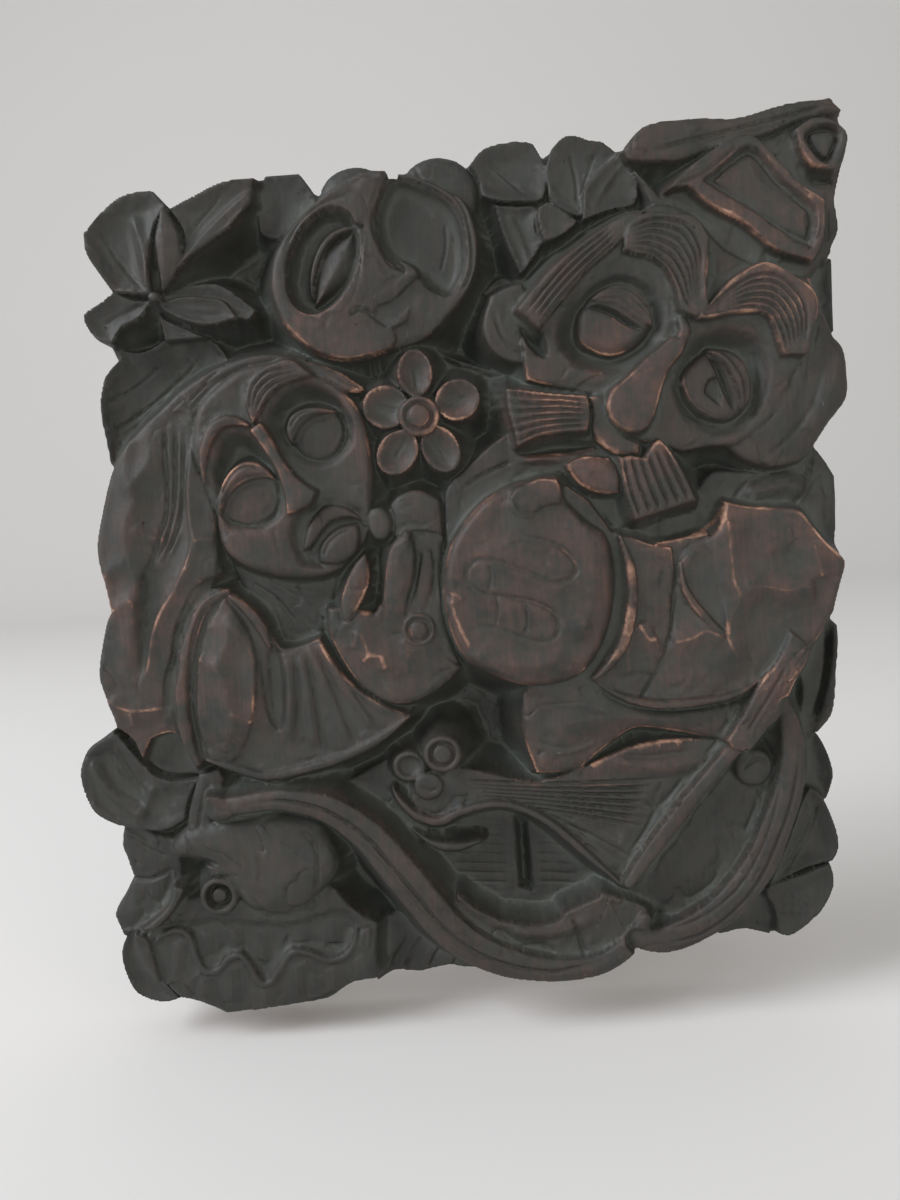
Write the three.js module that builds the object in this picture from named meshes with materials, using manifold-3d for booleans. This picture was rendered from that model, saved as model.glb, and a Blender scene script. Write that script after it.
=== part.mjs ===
// Carved wood relief: one board, cut around its figures and carved in deep relief.
// Millimetres. X right, Z up, the front faces -Y, the flat back lies on Y = 0.
// Each form is an outline on the front, seen from -Y, raised to a height above the back.

import * as THREE from 'three';
import { mergeVertices } from 'three/addons/utils/BufferGeometryUtils.js';
import Module from 'manifold-3d';

// Heights above the back, in millimetres.
const ground = 14;
const lowLeaf = 21;
const midLeaf = 28;
const petal = 34;
const moonFace = 38;
const face = 40;
const limb = 42;
const brow = 45;
const noseTip = 48;
const clear = 60;

// General edge treatment.
const root = 6;
const grooveWidth = 0.9;
const grooveDepth = 1.8;
const flatness = 0.7;
const shortestEdge = 0.06;

const stain = { color: 0x2a211d, roughness: 0.55, metalness: 0 };

// Outlines. A third value of 1 marks a corner; the line runs smoothly through the other points.
// A point that stands off its neighbours by less than the flatness is left out.
function smoothRun(run, closed, steps) {
  const at = (i) => {
    if (closed) return run[(i + run.length) % run.length];
    return run[Math.min(Math.max(i, 0), run.length - 1)];
  };
  const spans = closed ? run.length : run.length - 1;
  const line = [];
  for (let i = 0; i < spans; i += 1) {
    for (let s = 0; s < steps; s += 1) {
      line.push(catmull(at(i - 1), at(i), at(i + 1), at(i + 2), s / steps));
    }
  }
  if (!closed) line.push(at(run.length - 1));
  return line;
}

function catmull(a, b, c, d, t) {
  return [0, 1].map((k) => 0.5 * (
    2 * b[k] + (c[k] - a[k]) * t
    + (2 * a[k] - 5 * b[k] + 4 * c[k] - d[k]) * t * t
    + (3 * b[k] - a[k] - 3 * c[k] + d[k]) * t * t * t
  ));
}

function outline(given, steps = 1) {
  const points = given.filter((p, i) => p[2] || bulge(given, i) > flatness);
  const first = points.findIndex((p) => p[2]);
  if (first < 0) return smoothRun(points, true, steps);
  const turned = [...points.slice(first), ...points.slice(0, first), points[first]];
  const line = [];
  let run = [turned[0]];
  for (const point of turned.slice(1)) {
    run.push(point);
    if (point[2]) {
      const part = run.length === 2 ? run : smoothRun(run, false, steps);
      line.push(...part.slice(0, -1));
      run = [point];
    }
  }
  return line.map((p) => [p[0], p[1]]);
}

// How far a point stands off the line between its neighbours.
function bulge(line, i) {
  const a = line[(i + line.length - 1) % line.length];
  const b = line[(i + 1) % line.length];
  const [x, z] = [b[0] - a[0], b[1] - a[1]];
  return Math.abs(x * (line[i][1] - a[1]) - z * (line[i][0] - a[0])) / Math.hypot(x, z);
}

function ellipse(x, z, radiusX, radiusZ, turn = 0, sides = 20) {
  const angle = THREE.MathUtils.degToRad(turn);
  return Array.from({ length: sides }, (_, i) => {
    const a = (i / sides) * 2 * Math.PI;
    const u = radiusX * Math.cos(a);
    const v = radiusZ * Math.sin(a);
    return [x + u * Math.cos(angle) - v * Math.sin(angle), z + u * Math.sin(angle) + v * Math.cos(angle)];
  });
}

function area(line) {
  return line.reduce((sum, p, i) => {
    const q = line[(i + 1) % line.length];
    return sum + (p[0] * q[1] - q[0] * p[1]) / 2;
  }, 0);
}

function inset(line, distance) {
  const n = line.length;
  return line.map((p, i) => {
    const a = line[(i + n - 1) % n];
    const b = line[(i + 1) % n];
    const before = new THREE.Vector2(p[0] - a[0], p[1] - a[1]).normalize();
    const after = new THREE.Vector2(b[0] - p[0], b[1] - p[1]).normalize();
    const side = new THREE.Vector2(-before.y - after.y, before.x + after.x).normalize();
    const reach = distance / Math.max(0.55, side.x * -before.y + side.y * before.x);
    return [p[0] + side.x * reach, p[1] + side.y * reach];
  });
}

function shrink(line, factor) {
  const middle = centre(line);
  return line.map((p) => [middle[0] + (p[0] - middle[0]) * factor, middle[1] + (p[1] - middle[1]) * factor]);
}

function centre(line) {
  const whole = area(line);
  const sum = [0, 0];
  line.forEach((p, i) => {
    const q = line[(i + 1) % line.length];
    const cross = p[0] * q[1] - q[0] * p[1];
    sum[0] += (p[0] + q[0]) * cross;
    sum[1] += (p[1] + q[1]) * cross;
  });
  return [sum[0] / (6 * whole), sum[1] / (6 * whole)];
}

// A closed body from a stack of outlines of the same length, each at its own height.
function stack(rings) {
  const positions = [];
  const index = [];
  const n = rings[0].line.length;
  for (const ring of rings) {
    ring.line.forEach((p, i) => {
      const height = ring.heights ? ring.heights[i] : ring.height;
      positions.push(p[0], -height, p[1]);
    });
  }
  for (let r = 0; r < rings.length - 1; r += 1) {
    for (let i = 0; i < n; i += 1) {
      const a = r * n + i;
      const b = r * n + ((i + 1) % n);
      index.push(a, b, b + n, a, b + n, a + n);
    }
  }
  const contour = rings[0].line.map((p) => new THREE.Vector2(p[0], p[1]));
  const front = (rings.length - 1) * n;
  for (const [a, b, c] of THREE.ShapeUtils.triangulateShape(contour, [])) {
    index.push(a, c, b, front + a, front + b, front + c);
  }
  return body(positions, index);
}

function body(positions, index) {
  const geometry = new THREE.BufferGeometry();
  geometry.setAttribute('position', new THREE.Float32BufferAttribute(positions, 3));
  geometry.setIndex(index);
  return solid(geometry);
}

const wasm = await Module();
wasm.setup();

function solid(geometry) {
  const merged = mergeVertices(geometry);
  return new wasm.Manifold(new wasm.Mesh({
    numProp: 3,
    vertProperties: new Float32Array(merged.attributes.position.array),
    triVerts: new Uint32Array(merged.index.array),
  }));
}

function anticlockwise(line) {
  return area(line) < 0 ? [...line].reverse() : line;
}

// A form with upright sides, a rounded edge and a top that is flat, crowned or hollowed.
function raised(shape, top, { edge = 0, crown = 0, base = root } = {}) {
  const line = anticlockwise(shape);
  const rim = inset(line, edge);
  const rings = [{ line, height: base }];
  if (edge > 0) rings.push({ line, height: top - edge });
  rings.push({ line: rim, height: top });
  if (crown !== 0) {
    rings.push({ line: shrink(rim, 0.55), height: top + crown });
  }
  return stack(rings);
}

// A hollow that opens to the front, with sloping sides down to its floor.
function hollow(shape, floor, { slope = 0.8, rim = face } = {}) {
  const line = anticlockwise(shape);
  return stack([
    { line: shrink(line, slope), height: floor },
    { line, height: rim },
    { line, height: clear },
  ]);
}

// A band along a line, with its own half width and height at each point.
// Each point is [x, z, half width, height]; crown lifts the middle over the edges.
function band(spine, { crown = 1, edge = 0.35, steps = 1, base = root } = {}) {
  const path = smoothPath(spine, steps);
  const positions = [];
  const index = [];
  const shoulders = edge > 0 ? [[1 - edge, 0], [0, crown], [edge - 1, 0]] : [[0, crown]];
  const profile = [[1, -Infinity], [1, -1.2], ...shoulders, [-1, -1.2], [-1, -Infinity]];
  path.forEach((p, i) => {
    const a = path[Math.max(i - 1, 0)];
    const b = path[Math.min(i + 1, path.length - 1)];
    const along = new THREE.Vector2(b[0] - a[0], b[1] - a[1]).normalize();
    for (const [across, drop] of profile) {
      const height = drop === -Infinity ? base : p[3] + drop;
      positions.push(p[0] - along.y * across * p[2], -height, p[1] + along.x * across * p[2]);
    }
  });
  const m = profile.length;
  for (let i = 0; i < path.length - 1; i += 1) {
    for (let k = 0; k < m; k += 1) {
      const a = i * m + k;
      const b = i * m + ((k + 1) % m);
      index.push(a, b, b + m, a, b + m, a + m);
    }
  }
  const last = (path.length - 1) * m;
  for (let k = 1; k < m - 1; k += 1) {
    index.push(0, k + 1, k);
    index.push(last, last + k, last + k + 1);
  }
  return body(positions, index);
}

// A narrow band that comes to a ridge along its middle.
function ridge(spine, crown = 0.8) {
  return band(spine, { crown, edge: 0 });
}

// A V-shaped cut along a line. Each point is [x, z, height of the surface].
function groove(line, { width = grooveWidth, depth = grooveDepth, steps = 1 } = {}) {
  const path = smoothPath(line, steps);
  const positions = [];
  const index = [];
  path.forEach((p, i) => {
    const a = path[Math.max(i - 1, 0)];
    const b = path[Math.min(i + 1, path.length - 1)];
    const along = new THREE.Vector2(b[0] - a[0], b[1] - a[1]).normalize();
    const over = 1.5;
    const wide = width * (1 + over / depth);
    positions.push(p[0] - along.y * wide, -(p[2] + over), p[1] + along.x * wide);
    positions.push(p[0] + along.y * wide, -(p[2] + over), p[1] - along.x * wide);
    positions.push(p[0], -(p[2] - depth), p[1]);
  });
  for (let i = 0; i < path.length - 1; i += 1) {
    for (let k = 0; k < 3; k += 1) {
      const a = i * 3 + k;
      const b = i * 3 + ((k + 1) % 3);
      index.push(a, b, b + 3, a, b + 3, a + 3);
    }
  }
  const last = (path.length - 1) * 3;
  index.push(0, 2, 1, last, last + 1, last + 2);
  return body(positions, index);
}

function smoothPath(points, steps) {
  const size = points[0].length;
  const path = [];
  for (let i = 0; i < points.length - 1; i += 1) {
    const a = points[Math.max(i - 1, 0)];
    const b = points[i];
    const c = points[i + 1];
    const d = points[Math.min(i + 2, points.length - 1)];
    for (let s = 0; s < steps; s += 1) {
      const t = s / steps;
      const place = catmull(a, b, c, d, t);
      const rest = b.slice(2, size).map((v, k) => v + (c[k + 2] - v) * t);
      path.push([...place, ...rest]);
    }
  }
  path.push(points[points.length - 1]);
  return path;
}

let panel = raised(outline([
  [-128, 116], [-124, 146], [-98, 152], [-74, 157], [-55, 156], [-40, 157], [-26, 155], [-4, 160],
  [14, 162], [32, 163], [50, 163], [68, 157], [84, 164], [112, 165], [148, 168], [151, 148],
  [147, 122], [148, 100], [149, 66], [138, 44], [144, 24], [144, -8], [142, -26], [148, -44],
  [144, -64], [138, -80], [143, -92], [140, -110], [141, -132], [136, -148], [120, -158], [96, -158],
  [60, -158], [30, -165], [2, -164], [-22, -166], [-46, -166], [-66, -168], [-100, -175],
  [-128, -168], [-148, -168], [-153, -150], [-155, -135], [-146, -120], [-148, -100], [-156, -90],
  [-160, -74], [-146, -60], [-148, -40], [-150, -26], [-144, -8], [-146, 14], [-142, 40],
  [-141, 60], [-142, 80], [-134, 100],
], 1), ground, { edge: 1.5, base: 0 });

function join(...solids) {
  for (const piece of solids) panel = panel.add(piece);
}

function cut(...solids) {
  for (const piece of solids) panel = panel.subtract(piece);
}

// Top left: four leaves and two petals around one point, over a hollow leaf.
function leafCluster() {
  join(
    raised(outline([
      [-137, 96, 1], [-144, 89], [-147, 79], [-147, 70], [-145, 53, 1], [-138, 52, 1],
      [-118, 68], [-98, 84, 1], [-100, 100, 1], [-117, 103, 1],
    ]), 25, { crown: -5, base: 0 }),
    raised(outline([
      [-119, 118, 1], [-135, 120, 1], [-140, 128], [-145, 139], [-143, 147], [-134, 154],
      [-126, 158], [-116, 159, 1], [-110, 152, 1], [-116, 144], [-118, 130],
    ]), 36, { crown: -3, base: 0 }),
    raised(outline([
      [-117, 118, 1], [-104, 130], [-85, 143], [-76, 152], [-69, 155], [-70, 161, 1],
      [-89, 160], [-101, 155], [-110, 151, 1], [-106, 141], [-110, 128],
    ]), 36, { crown: -2, base: 0 }),
    band([
      [-116, 118, 0.6, 35], [-112, 128, 4, 37], [-111, 140, 5, 37.5], [-112, 150, 2, 36],
    ], { crown: 0.8 }),
    raised(outline([
      [-119, 117, 1], [-135, 121, 1], [-148, 113], [-147, 107], [-137, 100, 1], [-130, 107],
    ]), petal, { crown: -1.5, base: 0 }),
    raised(outline([
      [-119, 116, 1], [-111, 120], [-102, 122], [-92, 121], [-84, 116], [-78, 109, 1],
      [-86, 106], [-98, 105], [-109, 109],
    ]), 32),
    raised(outline([
      [-117, 115, 1], [-107, 117], [-96, 116], [-86, 107, 1], [-97, 105], [-109, 108],
    ]), 34.5, { crown: -1.5 }),
    raised(outline([
      [-119, 114, 1], [-112, 107], [-99, 101, 1], [-117, 101, 1],
    ]), 30, { edge: 1.5 }),
  );
}

// Top: the moon, with a face in profile on its crescent, in front of three round leaves.
const moonRound = [
  [-27, 159], [-11, 157], [-1, 152], [8, 145], [12, 130], [9, 115], [1, 104], [-12, 93],
  [-26, 89], [-42, 86], [-56, 90], [-67, 101], [-72, 115], [-70, 130], [-60, 143], [-48, 152],
];

function moon() {
  join(
    raised(outline([
      [-74, 156], [-71, 163, 1], [-58, 164, 1], [-51, 153, 1], [-60, 140], [-70, 140],
    ]), midLeaf, { base: 0 }),
    raised(ellipse(-36, 152, 15, 13, 0, 13), 30, { base: 0, edge: 3 }),
    raised(ellipse(-2, 150, 17, 16, 0, 13), 31, { base: 0, edge: 3 }),
    raised(outline(moonRound), 36, { edge: 3 }),
  );
  cut(hollow(outline([
    [-20, 158, 1], [-27, 147], [-29, 139], [-26, 129], [-12, 118, 1], [-8, 110], [0, 110],
    [7, 120], [8, 132], [5, 143], [-3, 151], [-12, 156],
  ]), 30, { rim: 36.5, slope: 0.72 }));
  join(raised(outline([
    [-21, 158, 1], [-27, 147], [-30, 139], [-26, 129], [-13, 118, 1], [-22, 109], [-29, 107, 1],
    [-27, 99, 1], [-17, 106, 1], [-19, 99], [-25, 97, 1], [-24, 91, 1], [-42, 88], [-55, 92],
    [-65, 102], [-70, 115], [-68, 130], [-59, 141], [-47, 150], [-30, 157],
  ]), moonFace));
  cut(
    hollow(ellipse(-50, 126, 21, 13.5, 66, 14), 31, { rim: moonFace }),
    groove([[-30, 103, 38], [-36, 108, 38], [-40, 104, 38]]),
  );
  join(
    band([
      [-54, 110, 0.6, 33], [-50, 118, 4, 34], [-45, 125, 6, 34.5], [-41, 131, 4, 34], [-38, 136, 0.6, 33],
    ], { crown: 2 }),
    ridge([
      [-55, 114, 0.8, 34], [-54, 122, 1, 35.5], [-50, 131, 1, 35.5], [-43, 138, 1, 35.5], [-34, 138, 0.8, 35],
    ], 0.4),
  );
}

// Top middle: upright leaves between the moon and the hat.
function topLeaves() {
  join(
    raised(outline([
      [10, 161, 1], [16, 167], [27, 169], [37, 166], [41, 158, 1], [38, 143], [26, 142], [13, 148],
    ]), 32, { base: 0 }),
    raised(outline([
      [40, 158, 1], [43, 165], [50, 170], [60, 166], [70, 160, 1], [60, 146], [50, 137], [41, 143],
    ]), 33, { base: 0 }),
    raised(outline([
      [19, 145, 1], [30, 144], [36, 138], [38, 128, 1], [28, 116, 1], [22, 132],
    ]), 31),
    raised(outline([
      [70, 160, 1], [60, 153], [54, 144], [53, 134, 1], [66, 137], [76, 142], [73, 152],
    ]), 35),
    raised(outline([
      [40, 144, 1], [36, 137], [38, 128, 1], [52, 135, 1],
    ]), 36),
  );
}

// Top right: a folded hat with a long leaf along its top, a framed panel and a round knob.
function hat() {
  join(
    raised(outline([
      [78, 150], [93, 157, 1], [137, 166, 1], [154, 169, 1], [157, 157], [153, 138], [152, 122],
      [149, 113, 1], [142, 106, 1], [124, 110], [106, 120], [95, 130], [84, 139, 1],
    ]), 38, { base: 0 }),
    raised(outline([
      [69, 159, 1], [73, 164], [80, 169], [97, 170], [133, 173], [150, 174, 1], [155, 168, 1],
      [137, 164], [124, 161], [107, 157], [94, 153], [80, 153],
    ]), 41, { base: 0 }),
    raised(outline([
      [84, 142, 1], [93, 150], [106, 158], [118, 161], [126, 154], [135, 143], [146, 135, 1],
      [145, 120], [140, 112, 1], [126, 117], [114, 128], [101, 136],
    ]), 43.5, { edge: 1.6 }),
    raised(ellipse(145.5, 156, 9.5, 10.5, 0, 13), 43, { edge: 1.6 }),
  );
  cut(
    hollow(outline([
      [99, 145, 1], [110, 153], [118, 157], [125, 151], [142, 133, 1], [140, 118, 1], [130, 122],
      [118, 132],
    ]), 40, { slope: 0.9, rim: 43.5 }),
    hollow(outline([[139, 161], [147, 163], [153, 158], [150, 151], [146, 148], [141, 154]]),
      40.5, { slope: 0.85, rim: 43 }),
    hollow([[140, 148], [140, 144], [151, 142], [151, 146]], 31, { slope: 0.9, rim: 43 }),
  );
  join(raised(outline([
    [105, 146], [117, 152], [129, 140], [137, 130], [135, 123], [120, 134],
  ]), 41.5, { edge: 1.5 }));
}

// Right: the tilted head of the man, with strands over the temple, heavy brows and a moustache.
function man() {
  join(
    raised(outline([
      [146, 114, 1], [153, 112, 1], [153, 87, 1], [140, 80], [132, 100],
    ]), 30, { base: 0 }),
    raised(outline([
      [105, 45, 1], [112, 37], [123, 34], [135, 34], [142, 42, 1], [153, 54], [157, 63], [155, 75],
      [151, 86, 1], [132, 90], [112, 70],
    ]), 36, { base: 0, edge: 3 }),
    raised(outline([
      [27, 103, 1], [40, 118], [54, 127], [69, 134], [84, 138], [98, 131], [110, 119], [124, 111],
      [140, 107, 1], [141, 92], [128, 70], [120, 52], [104, 45], [86, 42], [79, 46, 1],
      [58, 49], [52, 66, 1], [27, 73, 1],
    ]), 38),
    raised(outline([
      [-9, 27, 1], [-7, 35], [2, 43], [12, 51], [20, 55, 1], [52, 60, 1], [63, 44, 1], [62, 28, 1],
      [53, 28], [45, 33], [38, 38, 1], [18, 32], [2, 18], [-10, 8, 1],
    ]), 36.5),
    raised(outline([
      [10, 109, 1], [18, 113], [28, 114, 1], [30, 100], [37, 90], [37, 79, 1], [27, 81], [16, 86], [11, 98],
    ]), petal),
  );
  cut(
    hollow(ellipse(67, 95.5, 19, 17, -8, 13), 29, { rim: 38.5 }),
    hollow(ellipse(104.5, 67.5, 17.5, 18.5, 0, 13), 29, { rim: 38.5 }),
    hollow(ellipse(29, 93, 4, 8, -30, 8), 28, { rim: petal }),
    hollow(outline([[21, 47, 1], [36, 50.5], [58, 47, 1], [36, 46.5]]), 30, { slope: 0.9, rim: 37 }),
  );
  join(
    raised(ellipse(63.5, 94.5, 15.5, 13, 0, 12), 36.5, { edge: 4 }),
    raised(ellipse(102.5, 67, 13, 14, 0, 12), 36.5, { edge: 4 }),
    ridge([
      [55, 103, 0.5, 37], [62, 105.5, 2.4, 38.5], [70, 104, 3, 39], [76, 98, 2.4, 38.5], [77, 91, 0.5, 37],
    ]),
    ridge([
      [100, 80, 0.5, 37], [107, 77, 2.4, 38.5], [112, 71, 3, 39], [112.5, 64, 2, 38.5], [111, 58, 0.5, 37],
    ]),
    raised(outline([
      [24, 99, 1], [42, 115], [54, 124], [69, 134, 1], [70, 124], [57, 117], [48, 110], [39, 101],
      [34, 93, 1],
    ]), 43, { edge: 1.5 }),
    raised(outline([
      [67, 119, 1], [76, 120], [82, 116], [85, 109], [87, 99], [93, 93, 1], [97, 96, 1], [99, 108],
      [102, 121], [97, 130], [88, 135], [77, 136], [68, 133, 1],
    ]), 45.5, { edge: 1.6 }),
    raised(outline([
      [93, 93, 1], [98, 97, 1], [104, 103], [112, 108], [124, 110], [134, 106], [141, 95, 1],
      [135, 75, 1], [127, 76, 1], [124, 85], [119, 92], [105, 93],
    ]), brow, { edge: 1.6 }),
    raised(outline([
      [82, 87, 1], [88, 85, 1], [85, 77], [80, 69], [77, 61], [73, 54], [67, 51], [62, 53],
      [58, 59], [57, 66, 1], [63, 71], [76, 83],
    ]), noseTip, { edge: 2 }),
    raised(outline([
      [19, 71, 1], [36, 69.4], [51.5, 66.6, 1], [51.5, 59], [47, 52], [33, 50.5], [20, 49, 1],
    ]), brow),
    raised(outline([
      [61, 42, 1], [71, 40], [79, 47, 1], [84, 35], [91, 25, 1], [80, 22], [67, 19, 1], [63, 32],
    ]), brow),
    raised(outline([[41, 40, 1], [58, 44, 1], [62, 30, 1], [52, 29], [45, 33]]), 40, { edge: 2 }),
  );
  const leftStrands = [0, 1].map((k) => [
    [18, 65 - 7 * k, brow], [34, 64 - 6.4 * k, brow], [53, 62.5 - 4.6 * k, brow],
  ]);
  const rightStrands = [0, 1].map((k) => [
    [66.5 + 6 * k, 43, brow], [70 + 7 * k, 32, brow], [73 + 8 * k, 19, brow],
  ]);
  const templeStrand = [[28, 98.5, 43], [47.5, 114, 43], [70, 129, 43]];
  const browStrands = [0, 1].map((k) => [
    [68, 129 - 4 * k, 45.5], [84 - k, 129 - 5 * k, 45.5], [95 - 4 * k, 117 - 3 * k, 45.5],
    [96 - 3 * k, 96, 45.5],
  ]);
  const farStrand = [[100, 95.5, brow], [116, 103, brow], [130, 96, brow], [132.5, 77, brow]];
  for (const strand of [...leftStrands, ...rightStrands, ...browStrands, templeStrand, farStrand]) {
    cut(groove(strand, { depth: 1.4, width: 1 }));
  }
}

// Middle: a flower with five petals around a button.
function flower() {
  join(
    raised(outline([[-9, 93, 1], [6, 85], [20, 80], [35, 77, 1], [34, 72], [14, 72], [-6, 78]]), 25),
    raised(ellipse(-16, 63, 15, 15, 0, 12), 30),
  );
  const petals = [
    [-16.5, 80, 9.5, 7, 90], [-29, 67.5, 9, 9, 0], [-0.5, 68.5, 9.5, 8.5, 20],
    [-25.5, 49.5, 10, 8, 50], [-8.5, 49.5, 10, 7.5, -65],
  ];
  for (const [x, z, long, wide, turn] of petals) {
    join(raised(ellipse(x, z, long, wide, turn, 10), 40.5, { crown: -2 }));
  }
  join(
    raised(ellipse(-16, 63, 8, 8, 0, 12), 42, { edge: 1.5 }),
    raised(ellipse(-16, 63, 4.5, 4.5, 0, 10), 43.5),
  );
}

// Left: the woman, with long hair in broad locks, a round face and a cloak in folds.
function womanHair() {
  join(
    raised(outline([
      [-36, 58, 1], [-40, 78], [-50, 86], [-62, 91], [-80, 92], [-96, 88], [-110, 80], [-122, 70],
      [-135, 57], [-145, 38], [-150, 18], [-149, 4], [-147, -7, 1], [-153, -22], [-154, -36],
      [-149, -55, 1], [-142, -61], [-137, -72], [-128, -77], [-115, -74, 1], [-122, -55],
      [-120, -25], [-112, -6], [-101, 3, 1], [-99, 20], [-88, 60],
    ]), 33, { base: 0, edge: 3 }),
    band([
      [-101, 84, 1, 33], [-118, 72, 4, 35], [-132, 57, 6.5, 36], [-140, 38, 7, 37], [-143, 20, 7, 37],
      [-143, 4, 5, 36], [-141, -7, 4, 35],
    ]),
    band([
      [-141, -4, 2, 34], [-143, -18, 7.5, 36.5], [-144, -32, 8.5, 37], [-143, -46, 7, 36], [-141, -56, 2, 33],
    ]),
    band([
      [-100, 80, 1, 33], [-114, 68, 3, 35], [-122, 52, 5, 36], [-125, 36, 6.5, 37], [-129, 20, 5, 36],
      [-134, 3, 1, 34],
    ]),
    band([
      [-107, 44, 1, 34], [-105, 30, 4.5, 37.5], [-106, 14, 5.5, 38], [-115, 0, 5.5, 38],
      [-124, -16, 5.5, 37.5], [-130, -32, 6.5, 37], [-133, -47, 6, 36], [-131, -58, 2, 33],
    ]),
    ridge([
      [-86, 84, 0.8, 34], [-102, 76, 1.6, 36], [-111, 64, 1.8, 36.5], [-114, 48, 1.8, 36], [-117, 30, 1.2, 35],
    ]),
  );
}

function womanFace() {
  join(
    raised(outline([
      [-107, 60], [-103, 73], [-94, 82], [-82, 87], [-68, 87], [-55, 82], [-45, 75], [-39, 65],
      [-36, 55], [-36, 34], [-40, 21], [-46, 9], [-57, 2], [-70, 0], [-83, 4], [-94, 10],
      [-101, 19], [-103, 34], [-106, 48],
    ]), face, { edge: 3 }),
    raised(outline([
      [-66, 24, 1], [-60, 28], [-52, 29], [-44, 24, 1], [-44, 16], [-52, 9], [-61, 8, 1],
    ]), 41),
  );
  cut(
    hollow(ellipse(-88, 45, 15.5, 20.5, -6, 13), 30, { rim: 40.5 }),
    hollow(ellipse(-59, 63, 15, 16, 0, 13), 30, { rim: 40.5 }),
  );
  join(
    raised(ellipse(-86, 37, 12.5, 12, 0, 12), 37, { edge: 4 }),
    raised(ellipse(-57.5, 58.5, 11.5, 11.5, 0, 12), 37, { edge: 4 }),
    ridge([
      [-98, 31, 0.5, 37], [-96, 38, 2, 38.5], [-90.5, 44, 2.6, 39], [-81, 45, 0.5, 37.5],
    ]),
    ridge([
      [-68.5, 56, 0.5, 37], [-66.5, 63, 2, 38.5], [-61, 67.5, 2.4, 39], [-52, 67.5, 0.5, 37.5],
    ]),
    ridge([
      [-107, 51, 0.6, 40], [-105, 60, 2, 42], [-99, 67, 2.6, 43], [-91, 68.5, 2.4, 43], [-83, 63, 0.8, 42],
    ]),
    raised(outline([
      [-82, 65, 1], [-84, 73], [-81, 82], [-72, 88], [-60, 87], [-49, 79, 1], [-62, 80.5], [-71, 77],
      [-77, 71],
    ]), 44),
    raised(outline([
      [-83, 61, 1], [-79, 63, 1], [-74, 55], [-66, 44], [-58, 36, 1], [-64, 30], [-71, 28, 1],
      [-72, 39], [-76, 49],
    ]), 45, { edge: 1.6 }),
    band([
      [-60, 8, 0.6, 43], [-56, 13, 4, 44], [-50, 19, 4.4, 44], [-44, 22.5, 0.6, 43],
    ], { crown: 1.2 }),
    ridge([
      [-65, 14, 0.6, 42.5], [-60, 21, 1.4, 44], [-54, 25.5, 1.6, 44], [-45, 25, 0.6, 43],
    ], 0.6),
  );
  for (const k of [0, 1]) {
    cut(groove([
      [-81 + 2 * k, 68 + k, 44], [-79 + 2 * k, 78 - 2 * k, 44], [-68, 84.5 - 2.2 * k, 44], [-54, 82.5 - k, 44],
    ], { depth: 1.2, width: 0.8 }));
  }
}

function cloak() {
  join(
    raised(outline([
      [-100, 6], [-84, 6], [-66, 2], [-50, 6], [-56, -12], [-58, -24, 1], [-80, -26, 1], [-92, -8],
    ]), 30),
    raised(outline([
      [-99, 0], [-107, 1, 1], [-114, -8], [-120, -20], [-123, -34], [-124, -52], [-117, -75, 1],
      [-111, -71], [-104, -75], [-90, -81, 1], [-82, -82], [-66, -77], [-48, -70], [-30, -60, 1],
      [-34, -53], [-48, -46], [-58, -30], [-64, -22, 1], [-80, -24, 1], [-88, -8],
    ]), 37),
    ridge([
      [-97, -1.5, 1.5, 38], [-106, -7, 2, 39], [-112, -18, 2.4, 39.5], [-117, -34, 2.6, 39.5],
      [-119, -52, 2.4, 39], [-116, -70, 1.5, 38],
    ]),
    raised(outline([
      [-99, -5, 1], [-106, -14], [-111, -25], [-114, -42], [-113, -60], [-110, -71, 1], [-101, -70],
      [-92, -62], [-88, -45], [-87, -30], [-91, -16],
    ]), 40, { edge: 2 }),
    ridge([
      [-100, -7, 0.8, 40], [-97, -19, 3, 42], [-101, -32, 3.4, 42.5], [-99, -50, 3, 42.5], [-102, -67, 0.8, 41],
    ], 1.4),
    ridge([
      [-97, -3, 0.8, 38], [-90, -8, 1.8, 39.5], [-84, -16, 1.8, 39.5], [-81, -26, 0.8, 38],
    ], 0.6),
    raised(ellipse(-81.5, -43, 17.5, 5.6, 88, 13), 39.5, { crown: -1.5 }),
  );
  const pleats = [
    [[-77, -27], [-76, -46], [-77, -66]],
    [[-73, -26], [-72, -44], [-75, -64]],
    [[-69, -24], [-66, -42], [-60, -66]],
    [[-66, -23], [-58, -44], [-48, -66]],
    [[-62, -23], [-52, -42], [-33, -57]],
  ];
  for (const pleat of pleats) {
    join(ridge(pleat.map(([x, z], i) => [x, z, 1 + 0.3 * i, 39.2])));
  }
}

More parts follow.
